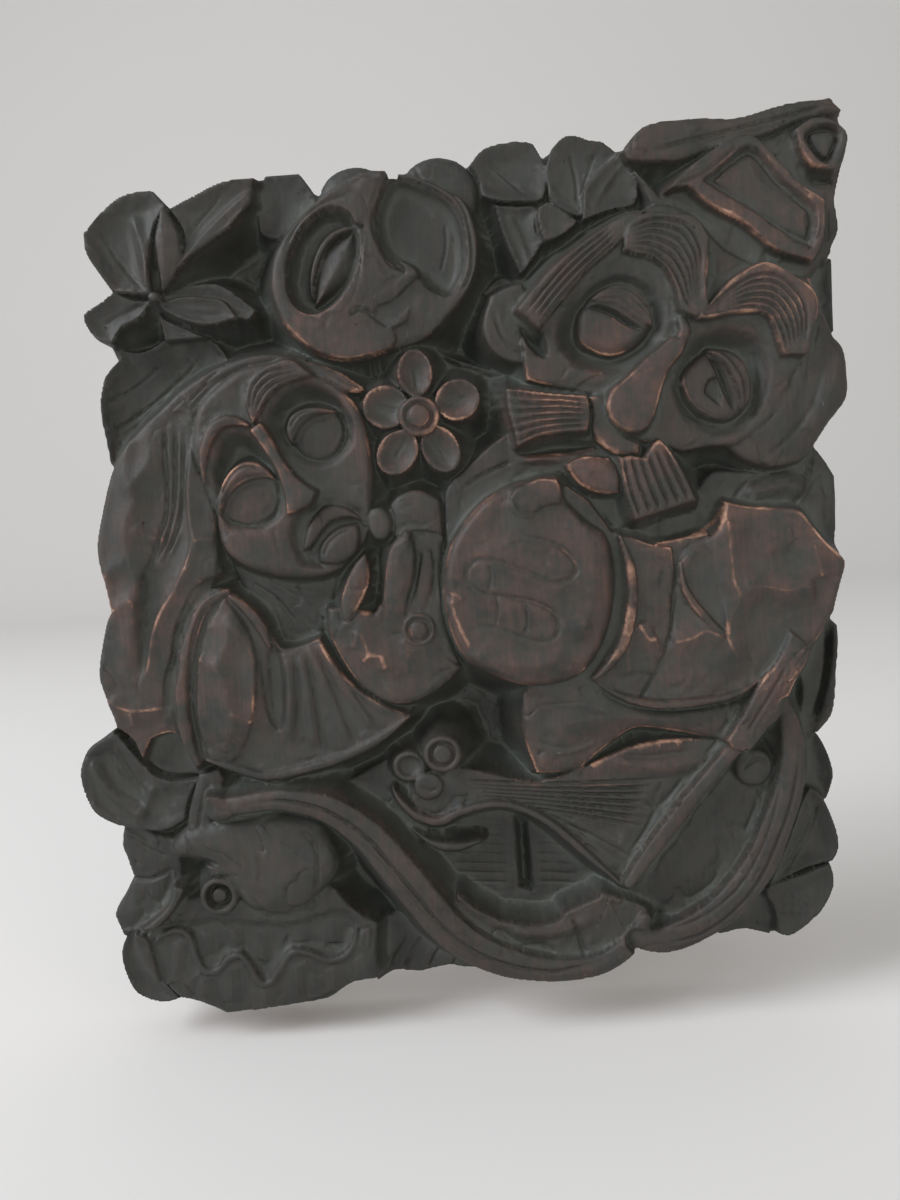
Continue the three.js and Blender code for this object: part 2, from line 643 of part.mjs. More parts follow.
function womanHand() {
  join(
    raised(outline([
      [-33, 29], [-28, 32.5], [-21, 34], [-13, 31.5], [-8, 26], [-6, 10], [-14, 2], [-30, 4], [-29, 18],
    ]), 35),
    raised(outline([
      [-59, -9, 1], [-60, -16], [-57, -25], [-50, -36], [-40, -46], [-28, -51], [-18, -49],
      [-4, -38, 1], [-4, -10], [-10, -2], [-30, -6], [-40, -12], [-48, -8],
    ]), 39.5, { edge: 3 }),
    raised(ellipse(-35, 21.5, 5.4, 7.6, -20, 12), 38, { edge: 2.5 }),
    band([
      [-52, -14, 5, 39], [-47, -4, 5.2, 41], [-44, 4, 4.4, 41], [-43.5, 9, 2, 39.5],
    ]),
    band([
      [-32, -18, 6, 40], [-30, -4, 6, 42], [-27, 8, 5.4, 42.5], [-25, 16, 3, 41],
    ]),
    band([
      [-19, -16, 5, 40], [-16.5, 0, 5, 41.5], [-14, 12, 4.6, 41.5], [-13, 19, 2.4, 40],
    ]),
    raised(ellipse(-22, -21.5, 7, 7, 0, 12), 41.5),
  );
  cut(hollow(ellipse(-22, -21.5, 5.6, 5.6, 0, 12), 39.5, { rim: 41.5, slope: 0.9 }));
  join(raised(ellipse(-22.5, -21.5, 4.2, 4.6, 0, 10), 42, { edge: 1.5 }));
}

// Middle: the man's clenched hand as a round cushion, its fingers folded along one winding line.
function fist() {
  join(
    raised(ellipse(23.5, -6, 35.5, 41.5, -4, 24), 43.5, { edge: 5, crown: 1.5 }),
    raised(outline([
      [17, 27], [20, 32], [28, 34], [38, 34, 1], [39, 26, 1], [32, 25], [29, 20], [22, 20],
    ]), 45.5, { edge: 1.5 }),
  );
  cut(groove([
    [12, 28, 44], [13, 18.5, 44.2], [24, 12.5, 44.5], [36, 9, 44.5], [42.5, 2, 44], [40.5, -5.5, 44.2],
    [31, -6.5, 44.6], [20, -1, 44.8], [10, 4.5, 44.6], [1, 2, 44.4], [-1, -4.5, 44.4], [6, -9.5, 44.5],
    [24, -12.5, 44.8], [33, -17.5, 44.4], [34, -26, 44.2], [27, -31, 44.2], [16, -27, 44.4],
    [2, -21.5, 44.2],
  ], { width: 1.1, depth: 2.4 }));
}

// Right: the sleeve with its cuff and folds, over the forearm that holds the fiddle.
function sleeve() {
  join(
    raised(outline([
      [62, 16], [78, 14], [93, 22], [103, 34], [130, 36, 1], [147, 36], [151, 28, 1], [151, 0, 1],
      [120, -10], [80, 0], [60, 8],
    ]), 29, { base: 0 }),
    raised(outline([
      [60, 11, 1], [68, 8], [81, 5, 1], [83, -8], [80, -26], [66, -54, 1], [55, -53], [46, -46, 1],
      [54, -41], [60, -32], [63, -20], [64, -8], [62, 2],
    ]), limb, { edge: 1.6 }),
    ridge([
      [61, 9, 0.8, 42], [63.5, -6, 1.6, 43.5], [63, -20, 1.8, 43.5], [58, -34, 1.8, 43.5], [48, -45, 0.8, 42],
    ]),
    raised(outline([
      [82, 2, 1], [89, 5], [97, 9], [103, 21, 1], [117, 18], [132, 16], [138, 8], [149, -2],
      [150, -8], [148, -17], [145, -25, 1], [135, -39], [122, -43], [108, -57, 1], [92, -59],
      [75, -59], [63, -56, 1], [74, -38], [81, -20],
    ]), 41, { base: 0, edge: 3 }),
    raised(outline([
      [84, -1, 1], [94, 7], [101, -4], [103, -20], [100, -33, 1], [92, -26], [86, -15],
    ]), 43, { edge: 1.5 }),
    ridge([
      [103, 12, 0.8, 42], [104, -6, 1.8, 44], [103, -24, 1.8, 44], [104, -42, 1.4, 43.5], [110, -48, 0.8, 42],
    ]),
    ridge([
      [104, -16, 0.8, 42], [118, -13, 1.6, 43.5], [141, -14, 0.8, 42],
    ]),
    ridge([
      [47, -47, 1, 40], [62, -55, 1.8, 42], [80, -58, 1.8, 42], [97, -56, 1.8, 42], [110, -51, 1, 41],
    ]),
    raised(outline([
      [19, -46, 1], [31, -44], [47, -46, 1], [58, -56], [76, -61], [108, -60, 1], [107, -66],
      [101, -76, 1], [88, -73], [75, -70], [60, -70], [47, -78], [36, -84], [23, -84, 1], [18, -70], [17, -58],
    ]), 37, { edge: 2.5 }),
  );
}

// Bottom right: the fiddle with its strings, the bow across it and the curled rim around it.
function fiddle() {
  join(
    raised(outline([
      [-82, -86, 1], [-58, -83], [-44, -78], [-28, -70], [-13, -62, 1], [-6, -70], [-7, -92],
      [-18, -104], [-34, -112], [-50, -100], [-62, -91],
    ]), 27),
    raised(outline([
      [-18, -103], [-2, -98], [12, -98], [30, -108], [46, -126], [56, -134, 1], [48, -138],
      [30, -146], [12, -146], [-6, -140], [-22, -124], [-30, -110],
    ]), 24),
    raised(outline([
      [104, -80, 1], [116, -83], [122, -90], [122, -104], [116, -120], [106, -134], [92, -144],
      [78, -148], [62, -142, 1], [58, -132],
    ]), 30),
    raised(outline([
      [-12, -79, 1], [6, -83], [21, -87], [33, -86], [46, -81], [61, -76], [75, -73], [100, -75, 1],
      [80, -104], [56, -133, 1], [45, -124], [34, -114], [20, -103], [7, -98], [-2, -97], [-10, -99],
      [-16, -103], [-24, -100], [-30, -92], [-24, -84],
    ]), 36, { edge: 1.6 }),
    ridge([
      [102, -76, 3, 42], [90, -90, 3, 42], [78, -105, 3, 42], [66, -120, 3, 41.5], [57, -131, 2.4, 41],
    ]),
    raised(outline([
      [126, -31, 1], [134, -38], [132, -45], [124, -58], [108, -78, 1], [99, -74, 1], [113, -51],
    ]), 44, { edge: 1.6 }),
    raised(ellipse(-15, -73.5, 7.8, 7.8, 0, 12), 41),
    raised(ellipse(-30, -78, 7, 6.6, 0, 12), 37),
    raised(ellipse(-22, -86, 6, 5.6, 0, 10), 39),
    ridge([
      [-36, -87, 0.8, 35], [-31, -96, 1.4, 37], [-20, -101, 1.6, 37.5], [-10, -97, 1.6, 38], [3, -95.5, 1.6, 38],
      [20, -101, 1.6, 38], [36, -114, 1.6, 38], [54, -132, 1, 37],
    ], 0.6),
  );
  cut(hollow([[9, -100], [9, -134], [16, -136], [20, -102]], 17, { rim: 24, slope: 0.85 }));
  const strings = [
    [[-8, -86], [34, -91], [72, -92]],
    [[-4, -90], [34, -95], [70, -99]],
    [[0, -94], [34, -99], [66, -106]],
  ];
  for (const string of strings) {
    cut(groove(string.map(([x, z]) => [x, z, 36]), { depth: 1.2 }));
  }
}

function rim() {
  join(
    raised(outline([
      [-12, -134], [6, -146, 1], [18, -148], [30, -145, 1], [46, -138], [58, -140], [64, -144, 1],
      [62, -154], [57, -160, 1], [30, -166], [6, -160],
    ]), 36, { base: 0 }),
    band([
      [-110, -90, 3, 40], [-90, -87, 4.4, 42], [-70, -90, 5, 42], [-54, -100, 6.2, 42],
      [-38, -119, 6.8, 42], [-22, -141, 7, 42], [-6, -156, 6.4, 42], [14, -165, 5.4, 41.5],
      [38, -165, 4.4, 41], [56, -158, 4, 40], [62, -148, 3, 40],
    ], { crown: 1, base: 0 }),
    band([
      [61, -156, 5.5, 36], [80, -155, 6.2, 37.5], [99, -145, 6.6, 38], [114, -127, 6.4, 38],
      [123, -106, 6, 38], [126.5, -86, 5, 38], [123, -62, 5, 38],
    ], { crown: 1, base: 0 }),
  );
  const lines = [
    [[-92, -87], [-70, -90], [-54, -100], [-38, -119], [-22, -141], [-6, -156], [14, -165], [30, -166]],
    [[70, -156], [80, -155], [99, -145], [114, -127], [123, -106], [126, -86], [124, -66]],
  ];
  cut(
    groove(lines[0].map(([x, z]) => [x, z, 42.5]), { depth: 1.4 }),
    groove(lines[1].map(([x, z]) => [x, z, 38.5]), { depth: 1.2 }),
  );
}

function rightLeaves() {
  join(
    raised(outline([
      [144, -25, 1], [151, -32, 1], [151, -50], [150, -62], [147, -70], [141, -77, 1], [134, -80],
      [130, -66], [130, -50],
    ]), 27, { base: 0 }),
    raised(outline([
      [140, -76, 1], [146, -86], [148, -98], [145, -107, 1], [137, -102, 1], [133, -90],
    ]), 23, { base: 0 }),
    raised(outline([
      [136, -99, 1], [143, -104], [147, -117], [148, -126], [145, -132, 1], [118, -141, 1],
      [126, -122], [131, -108],
    ]), midLeaf, { base: 0 }),
    raised(outline([
      [117, -141, 1], [132, -136], [144, -132, 1], [145, -142], [141, -151], [134, -158],
      [126, -163], [120, -161, 1], [117, -150],
    ]), midLeaf, { base: 0 }),
    raised(outline([
      [92, -160, 1], [100, -163.5], [108, -162], [119, -165, 1], [121, -158], [116, -146], [104, -146],
    ]), lowLeaf, { base: 0 }),
  );
  cut(groove([[147, -34, 27], [146, -48, 27], [144, -60, 27], [140, -71, 27]], { depth: 7, width: 1.4 }));
}

// Bottom left: a broad flower with a wavy edge, a disc, a ring and leaves around it.
function broadFlower() {
  join(
    raised(outline([
      [-151, -56, 1], [-158, -60], [-164, -66], [-167, -76], [-164, -87], [-159, -94], [-151, -98, 1],
      [-141, -100], [-132, -100], [-122, -95, 1], [-117, -80], [-118, -74, 1], [-130, -77],
      [-139, -71], [-146, -61],
    ]), 33, { base: 0 }),
    raised(outline([
      [-151, -97, 1], [-153, -106], [-150, -119, 1], [-155, -129], [-159, -135], [-155, -147, 1],
      [-137, -137], [-130, -122], [-130, -108],
    ]), midLeaf, { base: 0 }),
    raised(outline([
      [-153, -143, 1], [-158, -157], [-156, -166], [-150, -174], [-143, -176], [-134, -174, 1],
      [-140, -164], [-148, -148],
    ]), 27, { base: 0 }),
    raised(outline([
      [-49, -143, 1], [-51, -176, 1], [-43, -172], [-31, -172.5, 1], [-19, -170.5, 1], [-6, -172, 1],
      [-6, -162], [-24, -150],
    ]), 19, { base: 0 }),
    raised(outline([
      [-147, -140], [-146, -152], [-141, -166], [-133, -173, 1], [-124, -177], [-114, -181, 1],
      [-98, -180], [-87, -179.5], [-71, -177], [-59, -171, 1], [-50, -169, 1], [-49, -156],
      [-47, -145, 1], [-57, -138], [-68, -127], [-100, -130], [-130, -130],
    ]), 31, { base: 0, edge: 3 }),
    raised(outline([
      [-114, -72, 1], [-106, -78, 1], [-110, -90], [-114, -108], [-125, -106], [-123, -92], [-118, -80],
    ]), petal),
    raised(ellipse(-88, -115, 27, 21, -8, 18), 35, { edge: 4, crown: 2 }),
    raised(ellipse(-112, -129, 8, 8, 0, 12), 34.5),
    ridge([
      [-127, -124, 1, 34], [-131, -131, 2.2, 36], [-138, -138, 2, 36], [-146, -140, 0.6, 34],
    ]),
    ridge([
      [-148, -141, 1, 33], [-146, -150, 2.4, 34.5], [-143, -158, 2.2, 34.5], [-139, -167, 0.6, 33],
    ]),
    ridge([
      [-140, -146, 1, 32.5], [-132, -143, 1, 33], [-125, -149, 1, 33], [-122, -161, 1, 33],
      [-114, -160, 1, 33], [-106, -155, 1, 33], [-98, -168, 1, 33], [-90, -162, 1, 33],
      [-83, -155, 1, 33], [-66, -160, 1, 33], [-57, -149, 1, 32.5],
    ], 0.5),
  );
  cut(hollow(ellipse(-112, -129, 4.4, 4.4, 0, 10), 31.5, { rim: 34.5, slope: 0.8 }));
}

leafCluster();
topLeaves();
moon();
hat();
man();
flower();
womanHair();
womanFace();
cloak();
womanHand();
sleeve();
fist();
fiddle();
rightLeaves();
rim();
broadFlower();

// Joining and cutting leaves a few edges far too short to see. Their ends become one point.
function withoutShortEdges({ vertProperties, triVerts, numVert }) {
  const points = Array.from({ length: numVert }, (_, v) => (
    new THREE.Vector3().fromArray(vertProperties, 3 * v)
  ));
  const owner = points.map((_, v) => v);
  const last = (v) => (owner[v] === v ? v : last(owner[v]));
  const corners = Array.from(triVerts);
  corners.forEach((a, i) => {
    const b = corners[i - (i % 3) + ((i + 1) % 3)];
    if (points[a].distanceTo(points[b]) < shortestEdge) owner[last(a)] = last(b);
  });
  const faces = new Map();
  for (let i = 0; i < corners.length; i += 3) {
    const face = corners.slice(i, i + 3).map(last);
    const key = [...face].sort((a, b) => a - b).join();
    if (new Set(face).size < 3) continue;
    if (faces.has(key)) faces.delete(key);
    else faces.set(key, face);
  }
  const geometry = new THREE.BufferGeometry().setFromPoints(points);
  geometry.setIndex([...faces.values()].flat());
  return geometry;
}

function carvedPanel() {
  const geometry = withoutShortEdges(panel.getMesh());
  geometry.computeVertexNormals();
  const part = new THREE.Mesh(geometry, new THREE.MeshStandardMaterial(stain));
  part.name = 'carved_panel';
  return part;
}

const relief = new THREE.Group();
relief.add(carvedPanel());

export default relief;
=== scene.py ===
import bmesh
import bpy
import numpy as np
from mathutils import Matrix, Vector


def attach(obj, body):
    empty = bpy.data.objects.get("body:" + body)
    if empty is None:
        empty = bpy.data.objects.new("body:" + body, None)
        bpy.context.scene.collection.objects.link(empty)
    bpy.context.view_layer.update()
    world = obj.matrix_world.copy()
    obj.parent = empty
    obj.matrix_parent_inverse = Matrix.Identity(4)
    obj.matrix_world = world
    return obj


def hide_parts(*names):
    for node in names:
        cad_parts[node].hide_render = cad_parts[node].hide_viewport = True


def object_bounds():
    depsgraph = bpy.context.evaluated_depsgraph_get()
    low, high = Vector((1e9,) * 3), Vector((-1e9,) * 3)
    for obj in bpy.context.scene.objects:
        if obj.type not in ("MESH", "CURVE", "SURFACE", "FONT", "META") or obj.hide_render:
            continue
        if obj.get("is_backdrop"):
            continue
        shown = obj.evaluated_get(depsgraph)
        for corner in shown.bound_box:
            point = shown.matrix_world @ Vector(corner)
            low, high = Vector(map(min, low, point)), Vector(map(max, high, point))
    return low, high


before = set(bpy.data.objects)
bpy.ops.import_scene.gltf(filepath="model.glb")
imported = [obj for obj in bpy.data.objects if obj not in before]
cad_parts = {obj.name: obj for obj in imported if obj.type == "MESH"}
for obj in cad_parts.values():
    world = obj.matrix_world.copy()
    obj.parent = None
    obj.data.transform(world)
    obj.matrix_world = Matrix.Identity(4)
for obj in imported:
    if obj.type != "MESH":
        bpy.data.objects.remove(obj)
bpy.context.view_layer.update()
print("frame loaded")

# The relief is carved as heights above the flat back, in millimetres, on a fine grid.
# X runs right and Z up, seen from the front; the front faces -Y and the back lies on Y = 0.
block = {
    "left": -170.0,
    "right": 160.5,
    "low": -184.0,
    "high": 177.0,
    "step": 0.55,  # grid spacing
    "ground": 14.0,  # deepest level between the figures
    "triangles": 172000,  # left on the front after thinning
}
mm = 0.001

xs = np.arange(block["left"], block["right"], block["step"])
zs = np.arange(block["low"], block["high"], block["step"])
X, Z = np.meshgrid(xs, zs)
height = np.full(X.shape, block["ground"])
cover = np.full(X.shape, -99.0)  # distance inside the cut-out edge of the panel
facetDepth = np.zeros(X.shape)  # how deep the gouge facets are
facetWay = np.zeros(X.shape, int)  # which of the facet directions
crisp = np.zeros(X.shape)  # 1 on engraved lines, which no flat cut runs over
rubbed = np.zeros(X.shape)  # 1 on lines where the stain is worn off


# lines and distances

def smoothSpan(a, b, c, d, t):
    return 0.5 * (
        2 * b + (c - a) * t + (2 * a - 5 * b + 4 * c - d) * t * t
        + (3 * b - a - 3 * c + d) * t * t * t
    )


def smoothLine(points, closed=False, steps=4):
    # runs smoothly through the points; in a closed line a third value of 1 marks a corner
    if not closed:
        pts = np.array(points, float)
        padded = np.vstack([pts[:1], pts, pts[-1:]])
        line = [
            smoothSpan(*padded[i:i + 4], s / steps)
            for i in range(len(pts) - 1) for s in range(steps)
        ]
        return np.array(line + [pts[-1]])
    flat = np.array([p[:2] for p in points], float)
    corners = [i for i, p in enumerate(points) if len(p) > 2]
    n = len(points)
    if not corners:
        line = [
            smoothSpan(flat[i - 1], flat[i], flat[(i + 1) % n], flat[(i + 2) % n], s / steps)
            for i in range(n) for s in range(steps)
        ]
        return np.array(line)
    line = []
    for k, start in enumerate(corners):
        end = corners[(k + 1) % len(corners)]
        count = (end - start) % n or n
        run = [flat[(start + i) % n] for i in range(count + 1)]
        line.extend(smoothLine(run, False, 1 if count == 1 else steps)[:-1])
    return np.array(line)


def oval(x, z, along, across, turn=0.0, sides=36):
    a = np.linspace(0, 2 * np.pi, sides, endpoint=False)
    t = np.radians(turn)
    u, v = along * np.cos(a), across * np.sin(a)
    return np.stack([x + u * np.cos(t) - v * np.sin(t), z + u * np.sin(t) + v * np.cos(t)], 1)


def window(line, pad):
    low, high = line[:, :2].min(0) - pad, line[:, :2].max(0) + pad
    i0, i1 = np.searchsorted(xs, [low[0], high[0]])
    j0, j1 = np.searchsorted(zs, [low[1], high[1]])
    return slice(j0, max(j1, j0 + 1)), slice(i0, max(i1, i0 + 1))


def depthInside(line, x, z):
    # distance to the outline, positive inside it
    nearest = np.full(x.shape, 1e9)
    inside = np.zeros(x.shape, bool)
    for (ax, az), (bx, bz) in zip(line, np.roll(line, -1, 0)):
        dx, dz = bx - ax, bz - az
        t = np.clip(((x - ax) * dx + (z - az) * dz) / (dx * dx + dz * dz + 1e-9), 0, 1)
        nearest = np.minimum(nearest, (x - ax - t * dx) ** 2 + (z - az - t * dz) ** 2)
        if dz != 0:
            inside ^= ((az > z) != (bz > z)) & (x < (z - az) * dx / dz + ax)
    return np.where(inside, 1, -1) * np.sqrt(nearest)


def alongLine(line, x, z):
    # for each place: distance from the line, side of it, and place along it from 0 to 1
    nearest = np.full(x.shape, 1e9)
    side = np.zeros(x.shape)
    place = np.zeros(x.shape)
    lengths = np.hypot(*np.diff(line[:, :2], axis=0).T)
    starts = np.concatenate([[0], np.cumsum(lengths)]) / lengths.sum()
    for i in range(len(line) - 1):
        (ax, az), (bx, bz) = line[i, :2], line[i + 1, :2]
        dx, dz = bx - ax, bz - az
        t = np.clip(((x - ax) * dx + (z - az) * dz) / (dx * dx + dz * dz + 1e-9), 0, 1)
        d = (x - ax - t * dx) ** 2 + (z - az - t * dz) ** 2
        closer = d < nearest
        nearest = np.where(closer, d, nearest)
        side = np.where(closer, np.sign(dx * (z - az) - dz * (x - ax)), side)
        place = np.where(closer, starts[i] + t * (starts[i + 1] - starts[i]), place)
    return np.sqrt(nearest), side, place, starts


def ease(t):
    t = np.clip(t, 0, 1)
    return t * t * (3 - 2 * t)


def settle(w, new, blend, facets, way):
    height[w] += (new - height[w]) * blend
    facetDepth[w] += (facets - facetDepth[w]) * blend
    facetWay[w] = np.where(blend > 0.5, way, facetWay[w])


# the carver's cuts

def lay(points, top, edge=1.4, crown=0.0, tilt=(0, 0), wall=0.55, through=False, facets=0.35, way=0,
        over=True):
    # a form with its own outline; crown lifts the middle, or dishes it where it is below 0
    line = np.array(points) if isinstance(points, np.ndarray) else smoothLine(points, True)
    w = window(line, 6 if not through else 8)
    x, z = X[w], Z[w]
    d = depthInside(line, x, z)
    middle = line.mean(0)
    reach = max(d.max(), 1e-6)
    rounded = np.clip(1 - d / edge, 0, 1)
    new = top - edge * (1 - np.sqrt(1 - rounded ** 2))
    new = new + crown * (1 - (1 - np.clip(d / reach, 0, 1)) ** 2)
    new = new + tilt[0] * (x - middle[0]) + tilt[1] * (z - middle[1])
    blend = ease((d + wall) / (2 * wall))
    if not over:
        blend = np.where(new > height[w], blend, 0)
    settle(w, new, blend, facets, way)
    if through:
        cover[w] = np.maximum(cover[w], d)


def strip(spine, crown=1.5, edge=1.2, strands=0, strandDepth=0.7, lean=0.0, wall=0.55, through=False,
          facets=0.2, way=0, over=True):
    # a band along a line of (x, z, half width, height); lean moves its ridge to one side
    line = smoothLine(spine, False, 5)
    w = window(line, line[:, 2].max() + 6)
    away, side, place, starts = alongLine(line, X[w], Z[w])
    half = np.interp(place, starts, line[:, 2])
    across = np.clip(away / half, 0, 1) * side
    d = half - away
    rounded = np.clip(1 - d / edge, 0, 1)
    new = np.interp(place, starts, line[:, 3]) - edge * (1 - np.sqrt(1 - rounded ** 2))
    ridge = np.where(across > lean, (1 - across) / (1 - lean), (1 + across) / (1 + lean))
    new = new + crown * np.where(lean == 0, 1 - across ** 2, ridge)
    if strands:
        phase = (across + 1) / 2 * strands
        off = np.abs(phase - np.round(phase))
        new = new - strandDepth * np.clip(1 - off * 3.2, 0, 1)
    blend = ease((d + wall) / (2 * wall))
    if not over:
        blend = np.where(new > height[w], blend, 0)
    settle(w, new, blend, facets, way)
    if through:
        cover[w] = np.maximum(cover[w], d)


def sink(points, floor, slope=3.0, wall=0.45):
    # a hollow below what is there, with sides that slope in over a width
    line = np.array(points) if isinstance(points, np.ndarray) else smoothLine(points, True)
    w = window(line, 3)
    d = depthInside(line, X[w], Z[w])
    share = 1 - (1 - np.clip(d / slope, 0, 1)) ** 2
    share = np.maximum(share, 0.35 * ease((d + wall) / (2 * wall)))
    new = height[w] + (floor - height[w]) * share
    height[w] = np.where(d > -wall, np.minimum(height[w], new), height[w])


def bowl(points, depth, slope):
    # a soft dip below what is there, without an edge
    line = np.array(points) if isinstance(points, np.ndarray) else smoothLine(points, True)
    w = window(line, 1)
    height[w] -= depth * ease(depthInside(line, X[w], Z[w]) / slope)


def score(points, depth=1.2, width=0.9, steps=4):
    # a V-shaped cut that fades out at its ends
    line = smoothLine(points, False, steps)
    w = window(line, width + 1)
    away, _, place, _ = alongLine(line, X[w], Z[w])
    fade = np.clip(np.minimum(place, 1 - place) * 9, 0.25, 1)
    height[w] -= depth * fade * np.clip(1 - away / width, 0, 1)
    crisp[w] = np.maximum(crisp[w], fade * np.clip(2 - away / width, 0, 1))


def rub(points, width=0.9, strength=1.0, steps=4):
    # a line where the stain is worn off, and the wood a little with it
    line = smoothLine(points, False, steps)
    w = window(line, 2 * width)
    away, _, place, _ = alongLine(line, X[w], Z[w])
    fade = ease(np.minimum(place, 1 - place) * 8)
    worn = strength * fade * ease(1.5 - away / width)
    rubbed[w] = np.maximum(rubbed[w], worn)
    height[w] -= 0.25 * worn


def crest(points, rise=1.2, width=3.0, bare=0.0, steps=4):
    # a ridge between two slopes, worn along its top where bare is above 0
    line = smoothLine(points, False, steps)
    w = window(line, width + 1)
    away, _, place, _ = alongLine(line, X[w], Z[w])
    fade = ease(np.minimum(place, 1 - place) * 6)
    height[w] += rise * fade * np.clip(1 - away / width, 0, 1) ** 1.15
    crisp[w] = np.maximum(crisp[w], fade * np.clip(1.8 - away / width, 0, 1))
    if bare:
        rub(points, 0.9, bare, steps)


def comb(first, last, count, depth=0.9, width=0.9):
    # cuts that pass from one line to another
    a, b = smoothLine(first, False, 4), smoothLine(last, False, 4)
    places = np.linspace(0, 1, 16)
    a = np.stack([np.interp(places, np.linspace(0, 1, len(a)), a[:, k]) for k in (0, 1)], 1)
    b = np.stack([np.interp(places, np.linspace(0, 1, len(b)), b[:, k]) for k in (0, 1)], 1)
    for t in np.linspace(0, 1, count):
        score(a + (b - a) * t, depth, width, 1)


# the board between the figures

boardEdge = [
    (-132, 117), (-124, 146), (-98, 152), (-74, 157), (-55, 156), (-40, 157), (-26, 155), (-4, 160),
    (14, 162), (32, 163), (50, 163), (68, 157), (84, 164), (112, 165), (148, 168), (151, 148),
    (147, 122), (148, 100), (149, 66), (138, 44), (144, 24), (144, -8), (142, -26), (148, -44),
    (144, -64), (138, -80), (143, -92), (140, -110), (141, -132), (136, -148), (120, -158), (96, -158),
    (60, -158), (30, -165), (2, -164), (-22, -166), (-46, -166), (-66, -168), (-100, -175),
    (-128, -168), (-148, -168), (-153, -150), (-155, -135), (-146, -120), (-148, -100), (-156, -90),
    (-160, -74), (-146, -60), (-148, -40), (-150, -26), (-144, -8), (-146, 14), (-142, 40),
    (-141, 60), (-142, 80), (-139, 100),
]
cover = depthInside(smoothLine(boardEdge, True, 2), X, Z)


# top left: leaves and petals

def carveTopLeft():
    lay([(-140, 101, 1), (-137, 96, 1), (-144, 89), (-147, 79), (-147, 71), (-146, 63), (-145, 53, 1),
         (-142, 50, 1), (-120, 64), (-98, 82), (-92, 92, 1), (-99, 101), (-117, 103, 1), (-128, 98)],
        27, edge=1.4, crown=-8, through=True, facets=0.6, way=2)
    score([(-144, 66), (-132, 74), (-118, 84), (-106, 94)], 1.2, 1.0)
    score([(-145, 78), (-134, 84), (-122, 92)], 0.9, 0.9)
    # standing petal with a rolled left edge
    lay([(-119, 118, 1), (-127, 119), (-135, 120, 1), (-140, 128), (-144, 135), (-145, 142), (-143, 146),
         (-134, 154), (-126, 158), (-116, 159, 1), (-110, 152, 1), (-116, 144), (-119, 129)],
        36, edge=1.1, crown=-5, through=True, way=1)
    crest([(-125, 152), (-122, 138), (-120, 126), (-119.5, 118)], 2.6, 4.0)
    score([(-139, 146), (-133, 134), (-124, 122)], 1.0, 1.0)
    # broad leaf to the right
    lay([(-117, 118, 1), (-104, 130), (-94, 137), (-85, 143), (-76, 152), (-69, 155), (-70, 161, 1),
         (-79, 161), (-89, 160), (-101, 155), (-110, 151, 1), (-105, 142), (-106, 133), (-112, 124)],
        36, edge=1.0, crown=-3.5, through=True, way=1)
    crest([(-114, 120), (-102, 134), (-88, 147), (-73, 158)], 2.0, 3.2)
    score([(-108, 132), (-100, 144), (-88, 156)], 0.9, 0.9)
    strip([(-115, 119, 0.8, 34), (-111.5, 128, 4.2, 37), (-110.5, 139, 5.2, 38), (-111.5, 150, 1.5, 36.5)],
          crown=1.2, lean=0.3)
    # small leaves below the point where they meet
    lay([(-119, 117, 1), (-126, 117), (-135, 121, 1), (-141, 117), (-148, 113), (-147, 107), (-143, 102),
         (-137, 100, 1), (-133, 106), (-125, 110)], 34, edge=1.0, crown=-3.0, through=True, way=3)
    score([(-142, 108), (-133, 112), (-122, 116)], 1.0, 1.0)
    lay([(-119, 116, 1), (-111, 120), (-102, 122), (-95, 122), (-90, 120), (-85, 116), (-78, 110, 1),
         (-82, 106), (-86, 107), (-97, 105), (-106, 107), (-114, 111)], 33, edge=1.0, crown=-2.5)
    lay([(-117, 115, 1), (-107, 117), (-98, 116), (-91, 114), (-86, 107, 1), (-97, 105), (-106, 107),
         (-114, 111)], 35, edge=0.7, crown=-2.6)
    crest([(-115, 113), (-104, 112), (-92, 110)], 1.0, 1.8)
    lay([(-119, 114, 1), (-115, 109), (-107, 105), (-99, 101, 1), (-117, 101, 1), (-118, 106)],
        31, edge=1.0, crown=-2.0)
    lay(oval(-118, 117, 2.6, 2.2), 37.5, edge=1.0)


# top: the moon with a face in profile

